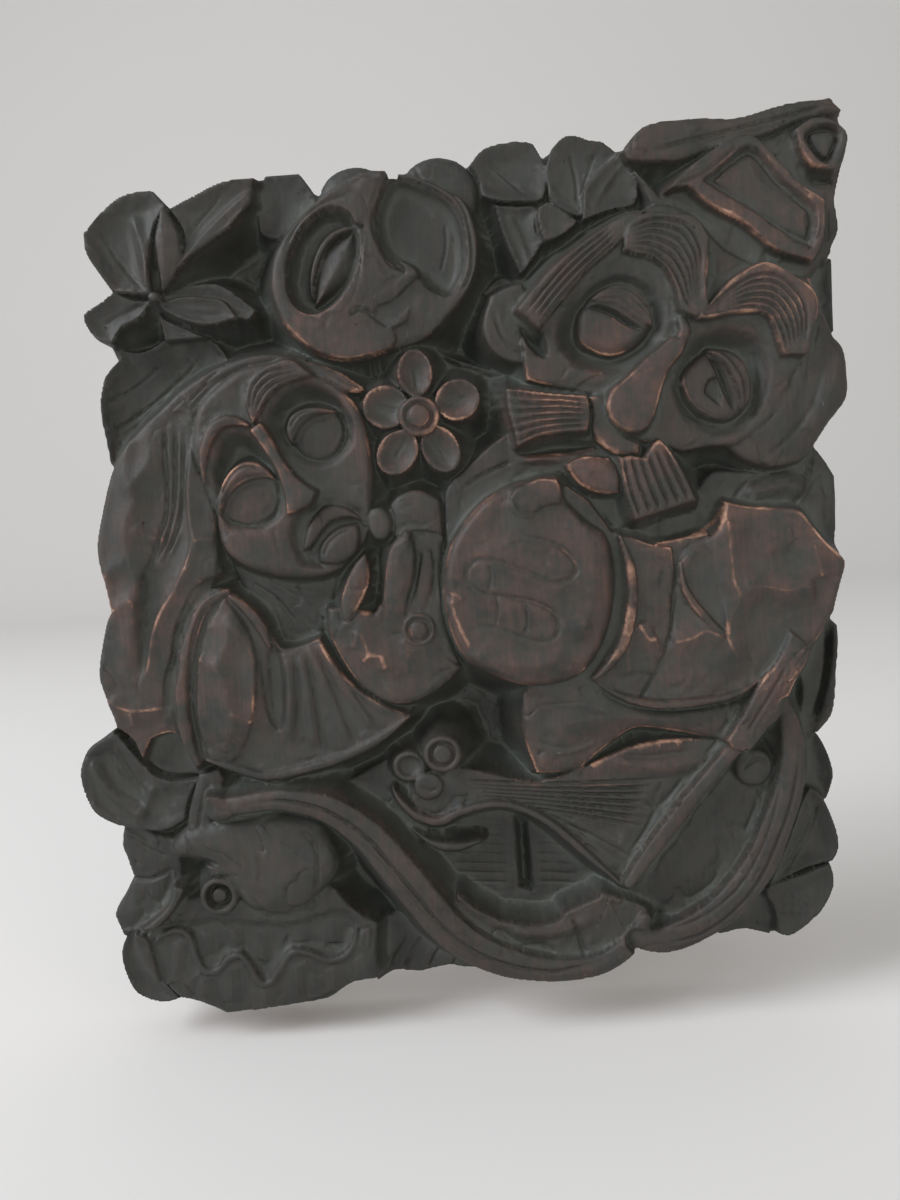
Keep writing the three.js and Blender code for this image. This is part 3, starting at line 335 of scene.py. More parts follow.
def carveMoon():
    lay([(-76, 158, 1), (-72, 164, 1), (-58, 164, 1), (-54, 158), (-51, 153, 1), (-59, 146), (-68, 138, 1),
         (-76, 142)], 28, edge=1.4, crown=-2.5, through=True)
    lay(oval(-36, 152, 15, 13), 30, edge=5, crown=1, through=True)
    lay(oval(-3, 150, 17, 16.5), 31, edge=6, crown=1, through=True)
    score([(-12, 163), (-8, 155), (-2, 150)], 1.2, 1.0)
    lay([(-27, 159), (-20, 159), (-11, 157), (-1, 152), (8, 145), (12, 130), (9, 115), (1, 104), (-12, 93),
         (-26, 89), (-42, 86), (-56, 90), (-67, 101), (-72, 113), (-72, 122), (-69, 132), (-60, 143),
         (-50, 151), (-40, 157)], 36.5, edge=2.4, wall=0.8, way=1)
    # the hollow behind the profile, with the rim around it
    sink([(-19, 157, 1), (-24, 152), (-28, 142), (-27, 131), (-22, 123), (-12, 117, 1), (-8, 112), (0, 110),
          (6, 120), (7, 132), (4, 144), (-4, 151), (-12, 155)], 30.5, 5)
    lay([(-20, 159, 1), (-24, 154), (-27, 147), (-30, 139), (-27, 129), (-23, 122), (-12.5, 117.5, 1),
         (-17, 114), (-23, 109), (-29.5, 107, 1), (-31, 103), (-27, 99, 1), (-22, 102), (-16.5, 106, 1),
         (-18.5, 100.5), (-24, 98, 1), (-23, 94), (-25, 90.5, 1), (-42, 87.5), (-55.5, 91.5), (-66, 102),
         (-70.5, 113.5), (-70.5, 122), (-67.5, 131.5), (-59, 142), (-49, 150), (-39, 156), (-30, 159)],
        38.5, edge=1.1, crown=1.2, way=1, facets=0.5)
    score([(-31, 103.2), (-36, 106.5), (-41, 104)], 2.0, 1.5)
    score([(-10, 156), (0, 151), (6, 144), (8.5, 134), (9, 124), (7, 116), (2, 109)], 1.2, 1.0)
    score([(-1, 140), (-1, 130), (-4, 120)], 1.0, 1.0)
    # the eye: a pointed lens in a deep socket
    sink(oval(-50, 126, 21.5, 13.5, 66), 30, 4.5)
    strip([(-54.5, 109.5, 0.5, 32.5), (-50, 117, 4.2, 33.5), (-45.5, 124, 6.3, 34), (-41, 131, 4.8, 34),
           (-37.5, 137, 0.5, 33)], crown=2.6, edge=0.7, lean=-0.25)
    strip([(-55.5, 113, 0.7, 34), (-54.5, 121, 1.3, 35.5), (-51, 130, 1.5, 36), (-45.5, 136, 1.4, 36),
           (-39, 138.5, 1.1, 35.5), (-33.5, 138, 0.6, 35)], crown=0.7, edge=0.6)
    score([(-64, 132), (-58, 141), (-48, 148), (-38, 150)], 0.9, 1.0)
    lay([(-16, 117, 1), (-12.5, 117.5, 1), (-14, 121), (-20, 124)], 39.3, edge=0.7, over=False)


# top middle: upright leaves between the moon and the hat

def carveTopMiddle():
    lay([(10, 161, 1), (16, 167), (27, 169), (35, 168), (38, 164), (41, 158, 1), (39, 146), (30, 145),
         (20, 146), (12, 150)], 33, edge=1.4, crown=-3.5, through=True, way=2)
    score([(17, 163), (24, 156), (32, 148)], 1.0, 1.0)
    lay([(40, 158, 1), (43, 165), (48, 169), (53, 169), (58, 167), (63, 166), (70, 160, 1), (60, 146),
         (53, 137, 1), (46, 140), (41, 145)], 34, edge=1.3, crown=-3, through=True, way=3)
    score([(50, 163), (52, 153), (52, 143)], 1.2, 1.0)
    score([(60, 162), (56, 152), (53, 144)], 0.9, 0.9)
    lay([(19, 145, 1), (29, 144), (36, 143), (35, 135), (38, 129, 1), (33, 122), (28, 116.5, 1), (22, 132)],
        32.5, edge=1.1, crown=-3)
    crest([(24, 142), (29, 131), (31, 121)], 1.3, 2.4)
    lay([(40, 144, 1), (36, 141), (36, 134), (38, 128, 1), (45, 130), (52, 135, 1), (46, 140)], 36.5,
        edge=1.0, crown=-1.6)
    lay([(70, 160, 1), (63, 156), (55, 148), (54, 142), (53, 135, 1), (63, 138), (74, 140), (76, 148),
         (73, 154)], 36, edge=1.1, crown=-2.6)
    crest([(57, 139), (63, 148), (71, 157)], 1.2, 2.2)
    # a leaf that runs from the moon to the temple
    lay([(12, 112, 1), (20, 118), (27, 115, 1), (30, 108), (26, 100, 1), (17, 103)], 27, edge=1.4, crown=-2)


# top right: the folded hat

def carveHat():
    lay([(72, 156, 1), (84, 142, 1), (93, 150), (100, 156), (107, 158), (124, 161), (137, 165), (154, 169, 1),
         (156, 160), (157, 156), (154, 145), (152, 136), (153, 125), (150, 118), (149, 113, 1), (142, 106, 1),
         (132, 108), (120, 112), (108, 116), (100, 124), (92, 132), (80, 138, 1)],
        38, edge=1.1, through=True, way=1, facets=0.6)
    # long leaf along the top
    lay([(69, 159, 1), (73, 164), (80, 169), (97, 170), (114, 169), (133, 173), (150, 174, 1), (155, 168, 1),
         (137, 165), (124, 161), (107, 158), (94, 154), (83, 154), (72, 155)],
        41, edge=1.1, crown=1.2, through=True, facets=0.6)
    score([(78, 158), (96, 161), (118, 165), (140, 169), (150, 171)], 1.5, 1.2)
    # framed panel
    lay([(84, 142, 1), (93, 150), (106, 158), (118, 161), (126, 154), (135, 143), (146, 135, 1), (145, 120),
         (140, 112, 1), (126, 117), (114, 128), (101, 136), (93, 143)], 44, edge=1.4, facets=0.5)
    sink([(99, 145, 1), (110, 153), (117, 157), (123, 153), (130, 144), (142, 133, 1), (143, 127),
          (140, 117, 1), (132, 121), (118, 132), (106, 140)], 40.2, 2.2)
    lay([(103, 145, 1), (110, 150.4), (117, 154), (121.6, 150.8), (128.4, 142), (139.4, 131.6, 1),
         (140.4, 127), (138.4, 120.6, 1), (132, 124.4), (119, 133.2), (108, 141.6)], 41.4, edge=1.3,
        crown=0.6, facets=0.4, way=2)
    score([(88, 144), (100, 148), (114, 158)], 0.9, 0.9)
    score([(144, 131), (143, 122), (137, 115)], 0.9, 0.9)
    # round knob with a drop in it
    lay([(135, 162, 1), (142, 166), (149, 165), (155, 160), (155, 154), (152, 147), (149, 144, 1), (141, 148),
         (137, 154)], 43.5, edge=1.3, crown=0.8)
    sink([(138.5, 159.5), (144, 163), (150.5, 162.5), (153, 159), (150, 151), (146.5, 148), (141, 153)],
         39.5, 2)
    lay([(141, 159.5), (145, 161), (149.5, 160.5), (151, 158), (148.5, 152), (146.5, 150.5), (143, 154)],
        42, edge=1.1, crown=1.0)
    sink([(140.5, 147.5, 1), (150.5, 145.5, 1), (150.5, 142.5, 1), (143, 143.5)], 29, 2)
    lay([(146, 114, 1), (153, 116, 1), (153, 102), (153, 87, 1), (141, 80), (134, 98)], 30, edge=1.4,
        crown=-2, through=True, way=2)


# right: collar and head of the fiddler

def carveCollar():
    # collar and shoulder between the beard and the sleeve
    lay([(62, 20, 1), (66, 17), (78, 18), (90, 22), (100, 34), (112, 34), (130, 33), (142, 43, 1), (147, 36),
         (151, 29, 1), (151, 15), (150, -2, 1), (120, -6), (84, -4), (62, 6)], 31, edge=2, crown=1.0,
        through=True, facets=0.8, way=1)
    score([(108, 21), (114, 28), (124, 32)], 1.6, 1.4)
    score([(132, 18), (138, 26), (141, 38)], 1.8, 1.4)
    crest([(112, 24), (120, 25), (130, 27), (140, 22)], 3.0, 6)


def carveMan():
    # far cheek and jaw
    lay([(103, 45, 1), (111, 38), (122, 33.5), (135, 35.5), (142, 43, 1), (147, 50), (154, 58.6), (155, 67),
         (153.5, 79), (150, 84, 1), (140, 98), (114, 72)], 37.5, edge=3.0, crown=1.5, through=True,
        facets=0.7, way=1)
    score([(120, 38), (131, 46), (140, 58), (145, 74)], 1.0, 1.4)
    crest([(150, 82), (148.5, 68), (143, 56), (136, 44)], 2.0, 6)
    lay([(27, 104, 1), (40, 118), (54, 127), (69, 134), (82, 139), (96, 134), (108, 120), (124, 112),
         (141, 107, 1), (142, 92), (134, 72), (124, 54), (108, 43, 1), (96, 43), (86, 42), (79, 46, 1),
         (60, 50), (52, 67, 1), (36, 71), (27, 74, 1), (26, 84)], 39.5, edge=2.2, wall=0.9, facets=0.5)
    # chin and lower lip
    lay([(-9, 27, 1), (-7, 35), (2, 43), (12, 51), (20, 55.5, 1), (52, 60, 1), (62, 48, 1), (63, 41),
         (62, 28, 1), (53, 28), (45, 33), (38, 37, 1), (20, 32), (2, 17), (-9, 10, 1)],
        37, edge=2, wall=0.8, facets=0.6, way=2)
    score([(0, 34), (5, 37), (12, 40), (20, 43)], 1.6, 1.3)
    lay([(40, 40.5, 1), (48, 43), (58, 42, 1), (62, 36), (62, 27, 1), (54, 27.5), (46, 31.5)], 41, edge=2,
        crown=2.0)
    sink([(21, 47, 1), (36, 51), (59, 47.5, 1), (45, 45.5), (25, 45)], 32, 2)
    crest([(20, 43.5), (32, 43), (44, 43), (56, 45)], 1.8, 2.4)
    # ear behind the temple
    lay([(15, 109, 1), (22, 112), (28, 113, 1), (34, 100), (37, 90), (37, 79, 1), (27, 80.5), (19, 83),
         (13.5, 88), (11, 97)], 36.5, edge=2, over=False)
    bowl([(29.5, 103), (34.5, 94.5), (37, 86), (35, 82), (29, 86), (25.5, 95)], 9, 3.2)
    score([(16, 104), (18, 95), (23, 88), (34, 83)], 1.2, 1.3)
    # shallow sockets with rounds of gouge marks
    bowl([(38, 90), (44, 104), (56, 112.5), (70, 114), (81, 107), (85.5, 97), (82, 85.5), (72, 76.5),
          (60, 73), (45, 78)], 7.5, 10)
    bowl([(97, 90), (111, 91), (122, 85), (125.5, 73), (123, 59.5), (114.5, 48.5), (102.5, 46), (90, 52),
          (83.5, 63), (85, 77.5)], 7.5, 10)
    score([(45, 87), (48, 99), (57, 108), (68, 111), (78, 105)], 0.8, 1.6)
    score([(120, 80), (122, 70), (119, 59), (111, 51)], 0.8, 1.6)
    # eyeballs, each with a heavy lid over a slit
    lay([(48.2, 93), (49.4, 87.6), (52.8, 84.8), (60.2, 81.6), (68.1, 83), (74.6, 87), (77.8, 92.4),
         (76, 99), (72, 105), (65.5, 108.5), (58.7, 107), (53, 103.5), (49.2, 99)], 39.2, edge=4.2,
        crown=1.0, facets=0.2)
    lay([(100, 81), (93.2, 78), (88, 72.6), (87.3, 65.8), (90.4, 59.8), (96, 54.8), (103.8, 52.6),
         (110, 54.5), (114, 60.2), (115.6, 67), (113.5, 73.8), (108.8, 78.9)], 39.2, edge=4.2, crown=1.0,
        facets=0.2)
    sink([(51.5, 101.5, 1), (58, 101.5), (64, 99), (70, 94.5), (75, 90.5, 1), (68, 92.5), (61, 97.5)], 35.2,
         1.6)
    lay([(53.5, 103.4, 1), (58.7, 107.4), (66.5, 109), (73.4, 105.4), (77.4, 98.4), (78, 91.4, 1),
         (70, 96), (63.4, 101), (58.4, 102.3)], 40.6, edge=1.0, crown=1.2, facets=0.1)
    comb([(57, 103.6), (64, 103.4), (71, 99), (76.4, 94)], [(61, 107), (68, 107), (74, 102.5), (77, 96)],
         3, 0.9, 0.8)
    crest([(48.7, 93.4), (50.3, 87.5), (54.5, 83.9), (60.3, 81.9), (68.1, 83), (75.2, 87.3)], 1.3, 1.3)
    sink([(99, 79.5, 1), (103, 76), (106, 70), (108.2, 62), (108.5, 57, 1), (104.5, 64), (102, 72)], 35.8, 1.6)
    lay([(100, 81, 1), (107, 80.4), (112.8, 76), (115.7, 68.8), (115, 61), (111.6, 57, 1), (110.6, 66),
         (107.4, 74), (103.9, 78)], 40.4, edge=1.0, crown=0.6, facets=0.1)
    strip([(99.6, 80.8, 0.5, 40.5), (104, 78.2, 1.2, 42), (107.6, 73.7, 1.5, 42.4), (110.6, 66.6, 1.5, 42.4),
           (111.6, 58, 0.6, 41)], crown=0.6, edge=0.7)
    crest([(89, 74.4), (89.6, 66), (94.6, 58.6), (103.5, 53.2)], 1.6, 1.3)
    sink([(98.7, 70, 1), (102.2, 70.6), (104.2, 65), (103, 59, 1), (99.6, 62), (97, 65.2)], 37.4, 1.4)
    # hair over the temple
    lay([(24.5, 101.4, 1), (31, 108.5), (40, 117), (51, 124.7), (61.8, 131.4), (69.6, 134.8), (77, 135.5, 1),
         (69, 126.4), (61.2, 120.3), (51.3, 112.5), (43.2, 103.7), (38, 98.4), (33, 92.8, 1)], 43.5, edge=1.0,
        crown=0.8, facets=0.1)
    comb([(28, 99.5), (45, 117.5), (64, 130.5)], [(33, 94.8), (48, 110.6), (67, 126.6)], 4, 1.5, 1.0)
    # near brow, a bundle of strands that turns down to the nose
    lay([(67.5, 120.6, 1), (67.8, 126), (69.3, 130, 1), (77, 134.4), (88.5, 133.2), (96, 131), (100.4, 123, 1),
         (99.8, 113), (98.6, 104), (99.2, 97, 1), (94.2, 93.6, 1), (90.4, 94.9), (87.6, 97), (86.4, 104.6),
         (83.4, 112.2), (78.2, 117.3), (72.5, 118.8)], 45.2, edge=1.0, crown=0.8, facets=0.15)
    comb([(69, 128), (79, 131.4), (91, 129), (96.5, 119), (96, 107), (97, 98)],
         [(69.5, 120.8), (77, 119.8), (84.4, 114), (88.4, 106), (90.5, 99.5), (93.8, 95.5)], 6, 1.7, 1.0)
    # far brow
    lay([(93.6, 92.6, 1), (96, 95.6), (100.2, 99.4), (106.1, 105.4), (114, 110.4), (122.6, 112.8),
         (132.8, 106.6), (139.4, 101.2), (141.5, 94.4), (139.6, 86.1), (137.5, 78.6), (135.5, 76.2, 1),
         (126.8, 76.8, 1), (125.2, 82.3), (123.4, 89), (120.7, 93), (115.2, 94), (107.6, 93.9), (99.9, 92.7)],
        45.2, edge=1.0, crown=0.8, facets=0.15)
    comb([(97, 95), (106, 102), (116, 107.5), (126, 107), (134, 99), (136.5, 89), (134.5, 78)],
         [(98, 94), (107, 95.6), (116, 95.8), (123, 93.5), (126.5, 87), (128, 82), (128.5, 77.6)], 6, 1.6, 1.0)
    # bridge and nose, a long flat with a rounded end
    strip([(89, 93.2, 2.2, 41.5), (90, 89.4, 2.4, 42.6), (88.5, 86, 2.4, 43.4)], crown=1.0, edge=1.2)
    lay([(84.3, 87, 1), (90.2, 86, 1), (88.6, 81), (83.2, 74.7), (79.8, 67.3), (77.6, 60.8), (75.4, 55.4),
         (72.3, 51.7), (67.2, 50.4), (61.5, 52.8), (57.9, 57.3), (57.4, 62.9), (59, 67.2), (64.8, 71.6),
         (72.4, 78.2), (79.4, 83.4)], 45.6, edge=1.3, crown=0.9, tilt=(-0.05, -0.06), facets=0.1)
    # moustache, combed to both sides
    lay([(18.7, 71.4, 1), (26.9, 70.2), (37.3, 68.2), (50.6, 66.6, 1), (51.6, 60), (50, 52.2, 1), (39.3, 52.4),
         (30.6, 51.4), (21.7, 47.8, 1), (20.3, 56), (18.6, 63.7)], 44.6, edge=1.0, crown=0.8, facets=0.1)
    comb([(19, 69.4), (30, 67.2), (40, 66.2), (51, 64)], [(21, 50), (30, 53.6), (40, 54.6), (50, 54.6)], 6,
         1.6, 1.0)
    lay([(61.4, 41.7, 1), (66.9, 42), (71.6, 41, 1), (74.8, 46), (78, 47.6, 1), (82.2, 42.5), (86.8, 33.9),
         (91.4, 22.6, 1), (78.3, 19.2), (66.3, 16.2, 1), (63.4, 26.2)], 44.6, edge=1.0, crown=0.6, facets=0.1)
    comb([(63.4, 40.5), (65.4, 29), (69, 18)], [(79, 44.6), (83.6, 33.5), (88.2, 23)], 6, 1.8, 1.1)
    lay([(51, 66.4, 1), (57.4, 66, 1), (59, 57), (64, 50), (71, 46.6, 1), (70, 42, 1), (61, 42.4, 1), (54, 48),
         (51.5, 54), (52, 60)], 42.2, edge=1.2, facets=0.2, over=False)


# middle: the flower with five petals

def carveFlower():
    lay([(-10, 94, 1), (-2, 88), (8, 84), (20, 80), (34, 78, 1), (35, 73, 1), (20, 72), (4, 74), (-6, 80)],
        26, edge=1.1, crown=-2.5, over=False)
    score([(-7, 88), (8, 80), (30, 76)], 0.9, 0.9)
    lay(oval(-16, 63, 16, 16), 30, edge=2.1)
    petals = [(-16.5, 80, 9.6, 7.2, 90), (-29, 67.5, 9.4, 8.8, 0), (-0.3, 68.5, 9.2, 8.4, 15),
              (-25.5, 49.3, 9.8, 8.0, 50), (-8.2, 49.5, 10, 7.6, -65)]
    for x, z, along, across, turn in petals:
        lay(oval(x, z, along, across, turn), 41.2, edge=0.9, crown=-3.6, wall=0.5, facets=0.15)
        score([(-16 + (x + 16) * 0.62, 63 + (z - 63) * 0.62), (x + (x + 16) * 0.18, z + (z - 63) * 0.18)],
              0.9, 1.0)
    lay(oval(-16, 63, 8.2, 8.2), 42, edge=1.5, facets=0)
    sink(oval(-16, 63, 6.2, 6.2), 40.6, 1.2)
    lay(oval(-16, 63, 4.6, 4.6), 43.2, edge=1.7, facets=0)


# left: the long-haired figure

def carveHair():
    lay([(-38, 74), (-42, 80), (-48, 84), (-58, 88), (-68, 91), (-80, 92), (-90, 90), (-100, 86), (-110, 80.5),
         (-120, 72.5), (-130, 64), (-140, 52), (-147, 32), (-150, 18), (-148.5, 6), (-146.5, -7, 1),
         (-149, -12), (-153, -27), (-153.5, -36), (-150, -48), (-148.5, -55, 1), (-142, -60), (-138, -70),
         (-130, -76), (-117, -77, 1), (-121, -60), (-121, -40), (-116, -18), (-106, -2), (-99, 6, 1),
         (-98, 40), (-70, 70)],
        38, edge=3.0, through=True, facets=0.7, way=3)
    # the outer lock and the broad one beside it meet in a waved ridge
    crest([(-116, 68), (-122.6, 60), (-125, 51), (-131, 44.6), (-132.8, 35.4), (-136.3, 26), (-136.7, 18),
           (-135.3, 10), (-134, 4.6), (-135.3, -2.2), (-136.6, -14), (-137, -25), (-136.3, -33.5),
           (-140, -42.5), (-141.5, -47)], 2.6, 8.5, bare=0.3)
    crest([(-131, 64), (-135, 50.3), (-134.4, 44.6), (-133, 38)], 1.2, 4.5)
    crest([(-148, 6), (-142, 11.5), (-136.5, 12)], 1.2, 5, bare=0.35)
    crest([(-146.5, -7), (-141, -5), (-135.5, -2)], 1.4, 5, bare=0.4)
    crest([(-133.5, 27.5), (-129, 23), (-120.5, 20.5)], 1.4, 5, bare=0.3)
    crest([(-151, -41.5), (-146, -45.5), (-141, -47.5), (-134, -47.6), (-126, -47.3)], 2.2, 6, bare=0.8)
    crest([(-141, -47.5), (-140.8, -51), (-140.4, -55)], 1.0, 3, bare=0.5)
    crest([(-124, 12), (-128, 4), (-130, -5), (-132.4, -16), (-134.6, -26), (-136.6, -38)], -3.4, 6)
    # fine strands between the broad lock and the one beside the face
    for strand in ([(-117, 68), (-118.2, 54), (-118.4, 42.6), (-119.8, 31), (-123.2, 21.8), (-127.5, 12.4),
                    (-131.7, 3)],
                   [(-113, 66), (-114.4, 50.6), (-115.8, 38), (-118, 28.6), (-121.7, 19.3), (-127.2, 9.9)],
                   [(-110, 62), (-111.3, 50.2), (-112.4, 39.9), (-114, 30.7), (-117.5, 21.3), (-122.9, 12)]):
        score(strand, 1.7, 1.4)
    # the lock beside the face, with its ridge and its cross cuts
    lay([(-103, 62, 1), (-102.8, 50), (-102.9, 41.7), (-100.2, 32.7), (-99.9, 16.4), (-101.6, 5, 1),
         (-110.2, 0.4), (-116.1, -8), (-120.3, -16.8), (-122.4, -27), (-125.5, -35), (-127.1, -46, 1),
         (-134, -46, 1), (-137.6, -38), (-133.3, -30), (-131.3, -21), (-129, -14), (-126, -7.5),
         (-120.6, 0), (-114.6, 10), (-111.6, 19.3), (-111.6, 28), (-111, 39.7), (-109.4, 50), (-107.2, 62, 1)],
        39.4, edge=1.6, wall=0.8, facets=0.4, way=3)
    crest([(-106.6, 58), (-108.4, 50), (-109.8, 39.7), (-110, 28.2), (-109.6, 19.3), (-113.4, 10), (-119, 0),
           (-124.6, -7.5), (-127.8, -14), (-130, -21), (-132, -30), (-136, -38)], 1.5, 4, bare=0.5)
    crest([(-110, 19.3), (-105, 20), (-100.6, 19.6)], 1.6, 5.5, bare=0.7)
    crest([(-114, 10), (-111, 6), (-107, 2)], 1.0, 4, bare=0.4)
    # fine strands that sweep back from the brow
    comb([(-83, 88), (-97, 83), (-108, 74)], [(-84, 83.5), (-97, 76), (-106, 64)], 4, 1.0, 0.8)
    strip([(-60, 88.5, 0.8, 36), (-74, 90, 1.6, 37.5), (-88, 87.5, 1.8, 37.5), (-99, 82, 1.2, 37)],
          crown=0.8, edge=0.6)
    lay([(-134, -60, 1), (-126, -58), (-119, -62, 1), (-117, -77, 1), (-130, -76), (-138, -70)], 32, edge=2.1,
        crown=-1.5, through=True)


def carveWoman():
    # neck
    lay([(-98, 10, 1), (-86, 6), (-73, 2), (-60, 2), (-48, 8, 1), (-56, -8), (-60, -20, 1), (-70, -25),
         (-80, -25, 1), (-85, -14), (-92, -5)], 30, edge=2, crown=1.5, facets=0.8, way=2)
    score([(-91, 2), (-80, -6), (-72, -17)], 1.2, 1.2)
    # face
    lay([(-107, 60), (-104, 72), (-96, 80), (-84, 87), (-70, 87.5), (-56, 82.5), (-44, 74), (-38.5, 66),
         (-36.2, 56), (-35.6, 45), (-36, 33), (-38.2, 21), (-42.5, 12), (-50.5, 4.6), (-61, 1.4), (-73, 1.6),
         (-84.5, 5), (-94, 10.6), (-99, 18.3), (-100.5, 30.8), (-104, 44), (-106.5, 52)],
        40.5, edge=4.0, wall=0.8, facets=0.35, way=2)
    # cheek: one broad facet under the eye
    crest([(-99, 21), (-94, 14), (-84, 9), (-72, 6.5), (-60, 6), (-50, 9)], 0.8, 4)
    bowl([(-101, 42), (-99, 54), (-94, 62), (-85, 62.6), (-77, 54.5), (-72, 44), (-70.8, 35.6), (-73, 26),
          (-80.5, 21.5), (-90, 21.6), (-97.5, 25)], 8, 8)
    bowl([(-78, 62), (-76, 71), (-67, 79.5), (-57, 80.5), (-47, 75.6), (-41, 64.5), (-42, 52.5),
          (-51, 45), (-60, 45), (-69, 50)], 8, 9)
    # eyes: flat discs under heavy lids
    lay([(-97.1, 28.6), (-98.3, 34.1), (-95, 42.9), (-89.3, 48.4), (-83.4, 49.4), (-77, 46), (-73.6, 40),
         (-74.1, 32.5), (-78.4, 26), (-84.6, 23.8), (-91, 25)], 38.6, edge=2.4, crown=0.8, facets=0.1)
    lay([(-66.6, 55), (-68.7, 60.1), (-66.8, 65.8), (-61.2, 68.6), (-54.6, 68.6), (-48.4, 66.5),
         (-45.9, 61.1), (-46.7, 55.2), (-51, 49.7), (-57, 47.9), (-63.4, 50.4)], 38.6, edge=2.4, crown=0.8,
        facets=0.1)
    score([(-93.5, 34), (-90, 38.4), (-84, 41), (-78, 40), (-76, 35), (-78.5, 29.5), (-84.5, 27.4)], 0.5, 1.2)
    score([(-64, 57), (-60, 62.6), (-54, 64.4), (-49, 62), (-49.4, 56.5), (-53.6, 52.2)], 0.5, 1.2)
    for lid in ([(-97.8, 28.4, 1), (-98.6, 34.1), (-95.2, 43.1), (-89.4, 48.7), (-83.4, 49.7), (-77.2, 46.2),
                 (-73.8, 41.2, 1), (-79.8, 42.8), (-87.4, 41.2), (-93.4, 36.6)],
                [(-67, 54.8, 1), (-69, 60.1), (-67, 66.1), (-61.2, 69), (-54.6, 69), (-47, 66.6, 1),
                 (-55.7, 66), (-62.3, 62.8)]):
        lay(lid, 41.4, edge=0.9, crown=1.0, facets=0.1)
    comb([(-96.4, 33), (-92, 40.2), (-85.5, 43.6), (-77.5, 43.8)], [(-96.8, 36), (-92, 44), (-86, 47.4),
         (-79, 46)], 2, 1.0, 0.9)
    comb([(-66.6, 58.4), (-62.5, 64.2), (-55.5, 67)], [(-67.4, 61), (-63.4, 66.2), (-57, 68)], 2, 0.9, 0.8)
    # brows: a bent ridge at the left, a broad crescent with flat cuts at the right
    strip([(-103, 42, 0.6, 40), (-102.4, 51.6, 1.8, 42.4), (-99.4, 59.6, 2.4, 43.6), (-94.6, 64.8, 2.4, 43.8),
           (-89, 65.6, 2.0, 43.6), (-83.5, 63.6, 0.8, 42.6)], crown=1.0, edge=0.9)
    lay([(-81.4, 63.6, 1), (-83.6, 70.6), (-82.8, 76), (-80.4, 81), (-74, 86.2), (-67, 88.2), (-62, 86.4),
         (-56, 81, 1), (-61.2, 80.4), (-67.9, 78.8), (-73.8, 74.3), (-77.4, 69.7)], 44, edge=0.9, crown=0.8,
        facets=0.3)
    comb([(-82.4, 68), (-80.6, 77.6), (-73.6, 83.6), (-63, 84.4)], [(-80.4, 67), (-77, 74.6), (-70.4, 79.6),
         (-60, 81.6)], 3, 1.5, 1.1)
    # nose: a long wedge that flares at its end
    lay([(-82.9, 61.6, 1), (-78.6, 64.4, 1), (-75.7, 60.6), (-73.2, 55.5), (-69.2, 47.6), (-64, 40.7),
         (-57.6, 36, 1), (-60.3, 31.2), (-64.2, 29), (-70.4, 27.3, 1), (-71, 35.6), (-73, 44),
         (-78.2, 54.2)], 45.4, edge=1.1, crown=0.9, tilt=(0.02, -0.05), facets=0.1)
    # lips
    bowl([(-72, 22), (-62, 32), (-48, 33), (-38, 26), (-41, 8), (-54, 3), (-68, 6)], 3.0, 5)
    lay([(-66, 13, 1), (-64.6, 19), (-62.6, 23.4), (-57, 29.8), (-50, 30.2), (-43.4, 26.2), (-40, 20.6, 1),
         (-44, 24.4), (-52.1, 24.2), (-58.2, 19.2), (-62.6, 13.6)], 40.8, edge=1.6, crown=0.9, facets=0.1)
    score([(-59, 29), (-58, 25.5), (-56.6, 22.5)], 1.0, 1.2)
    lay([(-60, 7.6, 1), (-58.6, 14.6), (-51.8, 20.8), (-43.6, 22.5, 1), (-42.6, 17.3), (-45.2, 10.2),
         (-52.5, 6.4)], 40.6, edge=2.0, crown=0.9, facets=0.1)
    score([(-57.6, 10), (-55.4, 15), (-50.4, 18.8), (-46, 20)], 1.0, 0.9)
    score([(-64.4, 12), (-61.4, 8.6), (-58, 5.6)], 1.3, 1.3)


